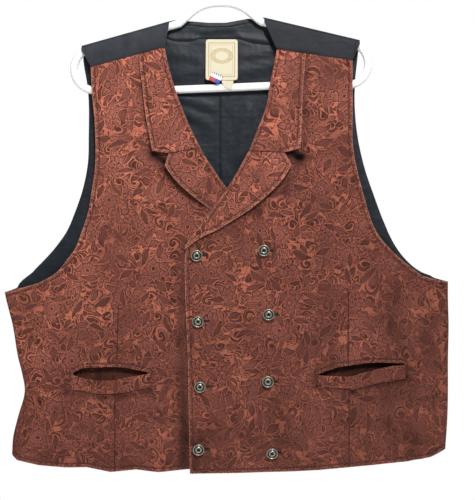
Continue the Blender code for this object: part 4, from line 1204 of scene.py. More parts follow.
@dataclass(frozen=True)
class PlainCloth:
    """Plain woven cloth, dyed in one colour, with a soft uneven grain.

    Attributes:
        name: the material's name.
        colour: its colour.
        pale: the colour of its rubbed threads.
        roughness: how dull it is.
        sheen: how much its nap catches the light.
    """

    name: str
    colour: str
    pale: str
    roughness: float
    sheen: float

    def material(self) -> bpy.types.Material:
        """Make the finish."""
        made, r, shader = start_finish(self.name)
        place = r.millimetres("bolt")

        # Threads along and across, drawn 1.8 mm apart because their own 0.4 mm is too fine to show
        uneven = {"Scale": 1 / 1.8 / 3.2, "Distortion": 1.2, "Detail": 2.0, "Detail Scale": 0.8}
        threads = [
            r.add("TexWave", place, named=uneven, bands_direction=direction) for direction in ("X", "Y")
        ]
        weave = r.add("MULTIPLY", threads[0], threads[1])
        cloud = r.add("TexNoise.2D", place, 1 / 24, 3.0)
        tone = r.add("MapRange", cloud, 0.3, 0.7, 0.0, 0.6)
        tone = r.add("MULTIPLY_ADD", weave, 0.3, tone)
        trim = r.add("UVMap", uv_map="trim")
        edge = r.chain(trim, ("SeparateXYZ",), ("MULTIPLY", 1000.0))
        rubbed = r.add("MapRange", edge, 0.0, 2.0, 0.5, 0.0)
        tone = r.add("ADD", tone, rubbed, use_clamp=True)
        mixed = r.add("Mix.RGBA", tone, linear(self.colour), linear(self.pale))
        # Painted light and shade: the map's second value paints the cloth paler or darker along given lines
        fading = r.add("UVMap", uv_map="fading")
        fading = r.add("SeparateXYZ", fading)
        paler = r.add("ADD", fading.node.outputs[1], 1.0)
        mixed = r.add("VectorMath.SCALE", mixed, paler)
        groove = r.band(edge, 6.0, 0.0, 1.6, -1.0, 0.0)
        height = r.add("MULTIPLY_ADD", weave, 0.25, groove)
        crumple = r.add("TexNoise.2D", place, 1 / 17, 2.0)
        height = r.add("MULTIPLY_ADD", crumple, 1.6, height)
        bump = r.add("Bump", named={"Strength": 0.7, "Distance": 0.0008, "Height": height})
        look = {
            "Base Color": mixed, "Normal": bump, "Roughness": self.roughness, "Specular IOR Level": 0.22,
            "Sheen Weight": self.sheen, "Sheen Roughness": 0.4
        }
        r.fill(shader, look)
        return made


@dataclass(frozen=True)
class AgedNickel:
    """Nickel-plated brass, stamped: bright on its rings, blackened in its grooves.

    The trim map holds the distance from the button's middle, in metres.
    """

    bright: str = "#9A978B"
    tarnish: str = "#1B1917"

    def material(self) -> bpy.types.Material:
        """Make the finish."""
        made, r, shader = start_finish("aged_nickel")
        trim = r.add("UVMap", uv_map="trim")
        radius = r.chain(trim, ("SeparateXYZ",), ("MULTIPLY", 1000.0))
        groove = r.band(radius, 6.0, 0.5, 1.1, 1.0, 0.0)
        eye = r.add("MapRange", radius, 2.2, 2.8, 1.0, 0.0)
        dark = r.add("MAXIMUM", groove, eye)
        place = r.add("TexCoord", out="Object")
        spots = r.chain(place, ("TexNoise.3D", 900.0, 3.0), ("MapRange", 0.5, 0.7, 0.0, 0.55))
        dark = r.add("MAXIMUM", dark, spots)
        mixed = r.add("Mix.RGBA", dark, linear(self.bright), linear(self.tarnish))
        rough = r.add("MapRange", dark, 0.0, 1.0, 0.3, 0.65)
        r.fill(shader, {"Base Color": mixed, "Roughness": rough, "Metallic": 0.85})
        return made


@dataclass(frozen=True)
class WovenLabel:
    """A damask-woven label: cream ground with a fine tan border and an empty oval ring.

    The bolt map holds the place from the label's middle, in metres.
    """

    ground: str = "#CFC8AE"
    figure: str = "#9C7A35"

    def material(self) -> bpy.types.Material:
        """Make the finish."""
        made, r, shader = start_finish("woven_label")
        place = r.millimetres("bolt")
        x = r.add("SeparateXYZ", place)
        y = x.node.outputs[1]

        # Two border lines: a rectangle 19.5 mm by 26 mm from the middle, and one 1.6 mm inside it
        side = r.chain(x, ("ABSOLUTE",), ("SUBTRACT", 19.5))
        top = r.chain(y, ("ABSOLUTE",), ("SUBTRACT", 26.0))
        frame = r.add("MAXIMUM", side, top)
        outer = r.chain(frame, ("ABSOLUTE",), ("MapRange", 0.25, 0.8, 0.8, 0.0))
        inner = r.band(frame, -3.2, 0.15, 0.6, 0.45, 0.0)
        lines = r.add("MAXIMUM", outer, inner)

        # The oval: a beaded ring 31 mm by 22 mm, with a plain ring inside it, 6 mm above the middle
        oval = r.chain(
            place, ("Mapping", (0.0, -6.0, 0.0)), ("VectorMath.MULTIPLY", (1 / 15.5, 1 / 11.0, 0.0))
        )
        reach = r.add("VectorMath.LENGTH", oval)
        even = {"Scale": 1 / 1.9, "Randomness": 0.2}
        beads = r.add("TexVoronoi", place, named=even, voronoi_dimensions="2D")
        beads = r.add("MapRange", beads, 0.2, 0.5, 1.0, 0.0)
        ring = r.band(reach, 0.88, 0.1, 0.15, 1.0, 0.0)
        beads = r.add("MULTIPLY", beads, ring)
        lines = r.add("MAXIMUM", lines, beads)
        for size in (1.06, 0.68):
            hoop = r.band(reach, size, 0.015, 0.05, 0.7, 0.0)
            lines = r.add("MAXIMUM", lines, hoop)
        woven = {"Scale": 1 / 1.2 / 3.2, "Distortion": 0.6}
        thread = r.add("TexWave", place, named=woven, bands_direction="Y")
        thread = r.add("MapRange", thread, 0.0, 1.0, 0.0, 0.12)
        tone = r.add("ADD", lines, thread, use_clamp=True)
        mixed = r.add("Mix.RGBA", tone, linear(self.ground), linear(self.figure))
        bump = r.add("Bump", named={"Strength": 0.3, "Distance": 0.0003, "Height": tone})
        r.fill(shader, {"Base Color": mixed, "Normal": bump, "Roughness": 0.7, "Sheen Weight": 0.1})
        return made


@dataclass(frozen=True)
class StripedRibbon:
    """A small woven ribbon: a dashed navy edge, a white band, and a red and a blue block below it."""

    white: str = "#EDE6E4"
    navy: str = "#27306A"
    red: str = "#B8343F"
    blue: str = "#2E3F93"

    def material(self) -> bpy.types.Material:
        """Make the finish; the bolt map holds the place from the ribbon's middle, in metres."""
        made, r, shader = start_finish("striped_ribbon")
        place = r.millimetres("bolt")
        x = r.add("SeparateXYZ", place)
        y = x.node.outputs[1]
        right = r.add("MapRange", x, 0.2, 0.8, 0.0, 1.0)
        block = r.add("Mix.RGBA", right, linear(self.red), linear(self.blue))
        low = r.add("MapRange", y, -0.6, -0.1, 1.0, 0.0)
        colour = r.add("Mix.RGBA", low, linear(self.white), block)
        dash = r.chain(x, ("PINGPONG", 1.7), ("MapRange", 0.5, 0.9, 0.0, 1.0))
        high = r.add("MapRange", y, 4.4, 4.9, 0.0, 1.0)
        dash = r.add("MULTIPLY", dash, high)
        colour = r.add("Mix.RGBA", dash, colour, linear(self.navy))
        r.fill(shader, {"Base Color": colour, "Roughness": 0.6})
        return made


@dataclass(frozen=True)
class MouldedPlastic:
    """White injection-moulded polystyrene: glossy, a little milky, faintly rippled by its mould."""

    colour: str = "#FCFCFB"

    def material(self) -> bpy.types.Material:
        """Make the finish."""
        made, r, shader = start_finish("moulded_polystyrene")
        place = r.add("TexCoord", out="Object")
        ripple = r.add("TexNoise.3D", place, 120.0, 2.0)
        tone = r.add("MapRange", ripple, 0.3, 0.7, 0.0, 1.0)
        mixed = r.add("Mix.RGBA", tone, linear(self.colour), linear("#FFFFFF"))
        bump = r.add("Bump", named={"Strength": 0.15, "Distance": 0.0003, "Height": ripple})
        look = {
            "Base Color": mixed, "Normal": bump, "Roughness": 0.28, "Subsurface Weight": 0.7,
            "Subsurface Radius": (1.0, 1.0, 1.0), "Subsurface Scale": 0.008
        }
        r.fill(shader, look)
        return made


@dataclass(frozen=True)
class SewingThread:
    """Spun polyester thread: a little paler on its rubbed crowns."""

    name: str
    colour: str
    pale: str

    def material(self) -> bpy.types.Material:
        """Make the finish."""
        made, r, shader = start_finish(self.name)
        place = r.add("TexCoord", out="Object")
        tone = r.chain(place, ("TexNoise.3D", 260.0, 2.0), ("MapRange", 0.48, 0.68, 0.0, 1.0))
        mixed = r.add("Mix.RGBA", tone, linear(self.colour), linear(self.pale))
        r.fill(shader, {"Base Color": mixed, "Roughness": 0.7, "Specular IOR Level": 0.12})
        return made


class Finishes:
    """Every finish, made once."""

    def __init__(self) -> None:
        """Make the materials."""
        self.rust = FloralTwill().material()
        self.charcoal = PlainCloth("polished_cotton", "#1D1F25", "#282A30", 0.6, 0.0).material()
        self.lining = PlainCloth("acetate_lining", "#11161D", "#1A2028", 0.42, 0.0).material()
        self.nickel = AgedNickel().material()
        self.label = WovenLabel().material()
        self.ribbon = StripedRibbon().material()
        self.plastic = MouldedPlastic().material()
        self.rust_thread = SewingThread("rust_thread", "#4E2A24", "#8E5C4D").material()
        self.dark_thread = SewingThread("dark_thread", "#241C1B", "#3A2C29").material()


def panel_columns(patch: Patch, up: Array, underarm: float) -> Array:
    """Return the shares across for every row of a panel, closer together at its outer edge.

    Args:
        patch: the panel.
        up: the heights of its rows.
        underarm: the height at which its side ends and its armhole begins.

    Returns:
        A row of shares for each height.
    """
    side = np.array((14.0, 11.5, 9.0, 6.5, 4.2, 2.2, 0.8, 0.0, 0.0))
    armhole = np.array((14.0, 11.0, 8.5, 6.2, 4.2, 2.6, 1.2, 0.5, 0.0))
    widths = patch.width(up)
    count = round(float(widths.max()) / PANEL_PITCH)
    rows = []
    for height, width in zip(up, widths):
        distances = side if height <= underarm + 1e-9 else armhole
        inner = np.linspace(0.0, 1 - (distances[0] + 3.0) / width, count)
        rows.append(np.concatenate((inner, 1 - distances / width)))
    return np.array(rows)


def panel_depth(
    patch: Patch, flat: Array, up: Array, underarm: float, depth: Array
) -> Array:
    """Return a panel's depth with its side fold rounded; the last column stands on the side seam.

    Args:
        patch: the panel.
        flat: X and Z of its points.
        up: the heights of its rows.
        underarm: the height at which its side ends.
        depth: the drape's depth at its points.

    Returns:
        The depth at its points.
    """
    side_x = patch.outer(np.minimum(up, underarm))[:, 0]
    from_side = np.abs(side_x[:, None] - flat[..., 0])
    share = np.clip(from_side / SIDE_ROUND, 0.0, 1.0)
    rounded = SIDE_STRAIGHT + (depth - SIDE_STRAIGHT) * np.sqrt(1 - (1 - share) ** 2)
    below = up < underarm - 1e-9
    rounded[below, -1] = SEAM_HALF
    rounded[np.abs(up - underarm) < 1e-9, -1] = UNDERARM_HALF
    return rounded


def crossing(rows: Line, first: int) -> Array:
    """Return, for each row from first up, the sine of the angle between the row and its inner edge.

    Args:
        rows: the rows of a panel.
        first: the number of the first row to look at.

    Returns:
        The sines.
    """
    table = np.asarray(rows, dtype=float)[first:]
    edge = np.gradient(table[:, 2:], axis=0)
    edge /= np.linalg.norm(edge, axis=1)[:, None]
    level = table[:, :2] - table[:, 2:]
    level /= np.linalg.norm(level, axis=1)[:, None]
    return np.abs(edge[:, 0] * level[:, 1] - edge[:, 1] * level[:, 0])


def pulled_back(rows: Line, first: int, distance: float) -> list[list[float]]:
    """Return panel rows whose inner edge, from row first up, is moved in to make room for a lapel.

    Args:
        rows: the rows of a panel.
        first: the number of the first row to move.
        distance: how far, square to the edge.

    Returns:
        The new rows.
    """
    moved = [list(row) for row in rows]
    for row, sine in zip(moved[first:], crossing(rows, first)):
        level = np.array((row[0] - row[2], row[1] - row[3]))
        step = level / np.linalg.norm(level) * distance / sine
        row[2] += step[0]
        row[3] += step[1]
    return moved


def with_depth(flat: Array, depth: Array) -> Array:
    """Return points in X, Y and Z from a flat grid and its Y values."""
    return np.stack((flat[..., 0], depth, flat[..., 1]), axis=-1)


@dataclass
class Seams:
    """The lines along which the vest is topstitched, gathered while its pieces are made.

    Attributes:
        finishes: the materials.
        pitch: from stitch to stitch.
        stitch: a stitch's length.
        thread: half the thread's thickness.
        step: how closely a line follows its piece.
        ray_start: how far off a piece is looked for, in metres.
        proud: how far the thread stands off the cloth.
        rows: the lines of each kind of thread, in metres.
    """

    finishes: Finishes
    pitch: float = 2.9
    stitch: float = 2.2
    thread: float = 0.42
    step: float = 2.0
    ray_start: float = 0.2
    proud: float = 0.12
    rows: dict[str, list[Array]] = field(default_factory=lambda: defaultdict(list))

    def run(
        self, piece: Piece, edge: Line, distance: float, middle: Array, towards: int = -1
    ) -> None:
        """Lay a line of stitching beside an edge of a piece, in rust in front and dark behind.

        Args:
            piece: the finished piece.
            edge: the edge in X and Z.
            distance: how far inside the edge it runs.
            middle: a point on its inner side.
            towards: the sign of the Y side that it shows on.
        """
        line = inset(edge, distance, middle)
        mesh = piece.data
        corners = [tuple(face.vertices) for face in mesh.polygons]
        tree = BVHTree.FromPolygons([vert.co for vert in mesh.vertices], corners)
        length = np.linalg.norm(np.diff(line, axis=0), axis=1).sum()
        places = along(line)(np.linspace(0.0, 1.0, max(3, round(length / self.step))))
        laid: list[tuple[float, float, float]] = []
        for x, z in places:
            start = (x * METRES, towards * self.ray_start, z * METRES)
            hit = tree.ray_cast(start, (0.0, -towards, 0.0))[0]
            if hit is not None:
                laid.append((hit.x, hit.y + towards * self.proud * METRES, hit.z))
        if len(laid) > 2:
            self.rows["rust_topstitch" if towards < 0 else "dark_topstitch"].append(np.array(laid))

    def tree(self) -> bpy.types.NodeTree:
        """Make the node tree that sets a stitch at every pitch along the lines."""
        tree = bpy.data.node_groups.new("running_stitch", "GeometryNodeTree")
        face = tree.interface
        face.new_socket("Geometry", in_out="INPUT", socket_type="NodeSocketGeometry")
        for name in ("Pitch", "Length", "Thread"):
            face.new_socket(name, in_out="INPUT", socket_type="NodeSocketFloat")
        face.new_socket("Finish", in_out="INPUT", socket_type="NodeSocketMaterial")
        face.new_socket("Geometry", in_out="OUTPUT", socket_type="NodeSocketGeometry")
        r = Recipe(tree, "GeometryNode")
        lines = r.add("NodeGroupInput", out="Geometry")
        given = lines.node.outputs
        curve = r.add("MeshToCurve", lines)
        curve = r.add("ResampleCurve", curve, named={"Length": given["Pitch"]}, mode="LENGTH")
        tangent = r.add("InputTangent")
        turned = r.add("FunctionNodeAlignRotationToVector", named={"Vector": tangent}, axis="X")
        bead = r.add("MeshUVSphere", named={"Segments": 6, "Rings": 4, "Radius": 0.5})
        size = r.add("ShaderNodeCombineXYZ", given["Length"], given["Thread"], given["Thread"])
        chance = {2: 0.82, 3: 1.12, "Seed": 7}
        uneven = r.add("FunctionNodeRandomValue", named=chance, out=1, data_type="FLOAT")
        size = r.add("ShaderNodeVectorMath", size, named={3: uneven}, operation="SCALE")
        stitch = {"Instance": bead, "Rotation": turned, "Scale": size}
        placed = r.add("InstanceOnPoints", curve, named=stitch, out="Instances")
        real = r.add("RealizeInstances", placed)
        dressed = r.add("SetMaterial", real, named={"Material": given["Finish"]})
        smooth = r.add("SetShadeSmooth", dressed)
        r.add("NodeGroupOutput", smooth)
        return tree

    def build(self) -> list[Piece]:
        """Make one object of stitches for each kind of thread."""
        tree = self.tree()
        made = []
        for kind, lines in self.rows.items():
            verts = np.concatenate(lines)
            starts = np.cumsum([0] + [len(line) for line in lines])
            edges = [(i, i + 1) for first, last in zip(starts, starts[1:]) for i in range(first, last - 1)]
            mesh = bpy.data.meshes.new(kind)
            mesh.from_pydata(verts.tolist(), [(int(a), int(b)) for a, b in edges], [])
            piece = stood(kind, mesh)
            finish = self.finishes.rust_thread if kind.startswith("rust") else self.finishes.dark_thread
            sizes = {
                "Pitch": self.pitch * METRES,
                "Length": self.stitch * METRES,
                "Thread": self.thread * 2 * METRES,
                "Finish": finish,
            }
            sewn = piece.modifiers.new("stitches", "NODES")
            sewn.node_group = tree
            for item in tree.interface.items_tree:
                if item.in_out == "INPUT" and item.name in sizes:
                    sewn[item.identifier] = sizes[item.name]
            made.append(plain(piece))
        return made


@dataclass
class Pocket:
    """A welt pocket: the mouth that is cut in its front, the welt below it and the bag behind."""

    side: str
    welt: Line
    lip: Line
    depth: Depth
    finishes: Finishes
    bolt: tuple[float, float, float]

    def cutter(self) -> Piece:
        """Make the prism that cuts the mouth, from the lip down to just behind the welt's top."""
        foot = [(x, top - MOUTH_BEHIND_WELT) for x, top, _ in self.welt]
        foot[0] = (self.lip[0][0] + MOUTH_END_INSET, foot[0][1])
        foot[-1] = (self.lip[-1][0] - MOUTH_END_INSET, foot[-1][1])
        outline = self.smooth_lip() + foot[::-1]
        middle = self.welt[len(self.welt) // 2]
        near = float(self.depth(np.array(middle[0]), np.array(middle[1]))) + CUTTER_PROUD
        shape = bmesh.new()
        ends = [shape.verts.new((x * METRES, -near * METRES, z * METRES)) for x, z in outline]
        face = shape.faces.new(ends)
        swept = bmesh.ops.extrude_face_region(shape, geom=[face])
        moved = [item for item in swept["geom"] if isinstance(item, bmesh.types.BMVert)]
        bmesh.ops.translate(shape, verts=moved, vec=(0.0, CUTTER_LENGTH * METRES, 0.0))
        bmesh.ops.recalc_face_normals(shape, faces=shape.faces)
        mesh = bpy.data.meshes.new("mouth_" + self.side)
        shape.to_mesh(mesh)
        shape.free()
        cutter = stood("mouth_" + self.side, mesh)
        cutter.hide_render = True
        return cutter

    def smooth_lip(self) -> list[tuple[float, float]]:
        """Return the lip's line with its corners eased."""
        curve = curve_through(corner_shares(self.lip), self.lip)
        return [tuple(point) for point in curve(np.linspace(0.0, 1.0, 25))]

    def mouth(self) -> Array:
        """Return the mouth's upper edge in X and Z."""
        return np.array(self.smooth_lip())

    def build_welt(self, seams: Seams) -> Piece:
        """Make the welt: sewn down at its ends and foot, with its top gaping in the middle.

        Args:
            seams: where its stitching is laid.

        Returns:
            The finished object.
        """
        table = np.asarray(self.welt, dtype=float)
        tops = curve_through(table[:, 0], table[:, 1:2])
        feet = curve_through(table[:, 0], table[:, 2:3])
        places = np.linspace(table[0, 0], table[-1, 0], round((table[-1, 0] - table[0, 0]) / TRIM_PITCH))
        shares = (places - places[0]) / (places[-1] - places[0])
        top, foot = tops(places)[:, 0], feet(places)[:, 0]
        grid = []
        for up in np.linspace(0.0, 1.0, 9):
            z = foot + (top - foot) * up
            bulge = WELT_BULGE * np.sin(np.pi * shares) ** 0.8 * up**1.5
            sag = 0.5 * np.sin(np.pi * shares * 5) * math.sin(math.pi * up)
            depth = self.depth(places, z) + GAP + WELT_WALL + bulge + sag
            grid.append(np.stack((places, -depth, z), axis=-1))
        points = np.array(grid)
        flat = points[..., (0, 2)]
        paler = ((places[0], top[0], places[-1], top[-1], EVENLY, WELT_PALER),)
        cloth = ClothGrid("welt_" + self.side + "_cloth", points, WELT_WALL, -1, self.bolt, painted_shading_and_tone=paler)
        piece = seat(cloth.build(self.finishes.rust), "floral_cloth", "welt_" + self.side)
        cloth.area()
        middle = flat.reshape(-1, 2).mean(0)
        for line in (flat[0], flat[:, 0], flat[:, -1]):
            seams.run(piece, line, WELT_INSET, middle)
        return piece

    def build_bag(self) -> Piece:
        """Make the bag: a shallow tray behind the front, which closes its open side."""
        left, right = self.lip[0][0] - BAG_MARGIN, self.lip[-1][0] + BAG_MARGIN
        top = max(z for _, z in self.lip) + BAG_MARGIN
        foot = top - BAG_LENGTH
        places = np.concatenate(([left], np.linspace(left + BAG_SLOPE, right - BAG_SLOPE, 24), [right]))
        heights = np.concatenate(([foot], np.linspace(foot + BAG_SLOPE, top - BAG_SLOPE, 16), [top]))
        x, z = np.meshgrid(places, heights)
        deep = np.full(x.shape, BAG_DEEP)
        deep[0], deep[-1], deep[:, 0], deep[:, -1] = 0.0, 0.0, 0.0, 0.0
        depth = self.depth(x, z) - FRONT_WALL - GAP - 1.0 - deep
        points = np.stack((x, -depth, z), axis=-1)
        # Painted shade, darkest at the pocket's mouth
        shade = ((left, top, right, top, BAG_SHADE_DEPTH, BAG_PAINTED_SHADE),)
        cloth = ClothGrid("pocket_bag_" + self.side + "_cloth", points, BAG_WALL, -1, self.bolt, painted_shading_and_tone=shade)
        piece = seat(cloth.build(self.finishes.rust), "floral_cloth", "pocket_bag_" + self.side)
        return piece


@dataclass
class Front:
    """One front: its panel with darts, and its topstitching."""

    side: str
    rows: Line
    hem: Line
    underarm: int
    tip: int
    depth: Depth
    dart: Line
    pocket: Pocket
    finishes: Finishes
    bolt: tuple[float, float, float] = (0.0, 0.0, 0.0)

    def build(self, seams: Seams) -> Piece:
        """Make the panel, its inner edge pulled back along the neck for the lapel's roll.

        Args:
            seams: where its stitching is laid.

        Returns:
            The finished object.
        """
        corners = (self.underarm, self.tip)
        patch = Patch(pulled_back(self.rows, self.tip, COLLAR_NOSE), self.hem, None, corners)
        up = patch.heights(PANEL_PITCH)
        underarm = float(patch.knots[self.underarm])
        flat = patch.grid(panel_columns(patch, up, underarm), up)
        depth = panel_depth(patch, flat, up, underarm, self.depth(flat[..., 0], flat[..., 1]))
        tip = int(np.searchsorted(up, patch.knots[self.tip] - 1e-9))
        arm = int(np.searchsorted(up, underarm - 1e-9))
        hem, armhole, placket = flat[0], flat[arm:, -1], flat[: tip + 1, 0]
        edges = [hem, armhole, placket, self.pocket.mouth()]
        cloth = ClothGrid(
            "front_" + self.side + "_cloth",
            with_depth(flat, -depth),
            FRONT_WALL,
            -1,
            self.bolt,
            edges,
            self.dart,
            (*FRONT_PAINTED_SHADING, *(LEFT_PAINTED_SHADOWS if self.side == "left" else RIGHT_PAINTED_SHADOWS)),
        )
        cutter = self.pocket.cutter()
        piece = cloth.build(self.finishes.rust, cutter)
        bpy.data.objects.remove(cutter)
        seat(piece, "floral_cloth", "front_" + self.side)
        wide, long = np.ptp(flat[..., 0]) * METRES, np.ptp(flat[..., 1]) * METRES
        cloth.area()
        middle = flat.reshape(-1, 2).mean(0)
        seams.run(piece, hem[1:-2], HEM_INSET, middle)
        seams.run(piece, armhole[1:], EDGE_INSET, middle)
        seams.run(piece, self.pocket.mouth(), LIP_INSET, np.array(self.pocket.welt[3][:2]))
        if self.side == "left":
            for distance in PLACKET_INSETS:
                seams.run(piece, placket[:-2], distance, middle)
        return piece


@dataclass
class Lapel:
    """A lapel or collar that rolls over its front's edge and lies on the front.

    Attributes:
        name: the node's name.
        rows: outer x, outer z, inner x and inner z, from the lowest row up.
        low: its lowest edge, straight if None.
        high: its highest edge, straight if None.
        lift: how far its outer edge stands off the front at most.
        least_lift: how far it stands off where it lies flattest.
        lift_rows: the row where it lies flattest and the row where it has lifted.
        depth: the drape of its front.
        flat_tip: whether its foot is pressed flat.
        brighter: how much paler it is than the front round it.
        bolt: where it lies on the bolt.
        finishes: the materials.
    """

    name: str
    rows: Line
    low: Line | None
    high: Line | None
    lift: float
    least_lift: float
    lift_rows: tuple[int, int]
    depth: Depth
    flat_tip: bool
    brighter: float
    bolt: tuple[float, float, float]
    finishes: Finishes

    def build(self, seams: Seams) -> Piece:
        """Make the piece, lifting more towards its outer edge.

        Args:
            seams: where its stitching is laid.

        Returns:
            The finished object.
        """
        patch = Patch(self.rows, self.low, self.high)
        up = patch.heights(TRIM_PITCH)
        sines = np.interp(up, patch.knots, crossing(self.rows, 0))
        widths = patch.width(up)
        nose = np.minimum(COLLAR_NOSE / (widths * sines), WIDEST_NOSE)
        inner = len(NOSE_TURNS)
        shares = np.linspace(0.0, 1.0, round(float(widths.max()) / TRIM_PITCH))[1:]
        flat_row, lifted_row = self.lift_rows
        grown = smooth_step(patch.knots[flat_row], patch.knots[lifted_row], up)
        rising = self.least_lift + (self.lift - self.least_lift) * grown
        columns, rises = [], []
        for turn in NOSE_TURNS:
            angle = math.radians(turn)
            columns.append(nose * (1 - math.cos(angle)))
            rises.append(np.full(len(up), COLLAR_NOSE * math.sin(angle) - FRONT_WALL / 2))
        for share in shares:
            columns.append(nose + (1 - nose) * share)
            rises.append(GAP + LAPEL_WALL + rising * share**2)
        flat = patch.grid(np.array(columns).T, up)
        proud = np.array(rises).T
        if self.flat_tip:
            settled = smooth_step(0.0, float(patch.knots[1]), up)[:, None]
            proud = GAP + LAPEL_WALL + (proud - GAP - LAPEL_WALL) * settled
        below = flat.copy()
        below[:, :inner] = flat[:, inner - 1 : inner]
        points = with_depth(flat, -(self.depth(below[..., 0], below[..., 1]) + proud))
        end, ends = (flat[-1], self.high) if self.high else (flat[0], self.low)
        notch = int(np.linalg.norm(end - np.array(ends[1]), axis=1).argmin())
        edges = [flat[:, -1], end[notch:], flat[:, 0]]
        painted_shading_and_tone = ((*flat[0, 0], *flat[-1, 0], EVENLY, self.brighter),)
        cloth = ClothGrid(self.name + "_cloth", points, LAPEL_WALL, -1, self.bolt, edges, painted_shading_and_tone=painted_shading_and_tone)
        piece = seat(cloth.build(self.finishes.rust), "floral_cloth", self.name)
        wide, long = np.ptp(flat[..., 0]) * METRES, np.ptp(flat[..., 1]) * METRES
        front = "front_" + self.name.rsplit("_", 1)[1]
        share = min(1.0, cloth.area() / (wide * long))
        middle = flat.reshape(-1, 2).mean(0)
        seams.run(piece, flat[1:-1, -1], LAPEL_INSET, middle)
        return piece


def arm_axis(x: Array) -> Array:
    """Return the height of the hanger arm's axis at x, with the hanger tilted."""
    side = np.sign(x)
    root_x = side * ARM_ROOT_X * math.cos(HANGER_TILT) - ARM_ROOT_Z * math.sin(HANGER_TILT)
    root_z = side * ARM_ROOT_X * math.sin(HANGER_TILT) + ARM_ROOT_Z * math.cos(HANGER_TILT)
    return root_z - np.tan(ARM_SLOPE - side * HANGER_TILT) * (np.abs(x) - np.abs(root_x))


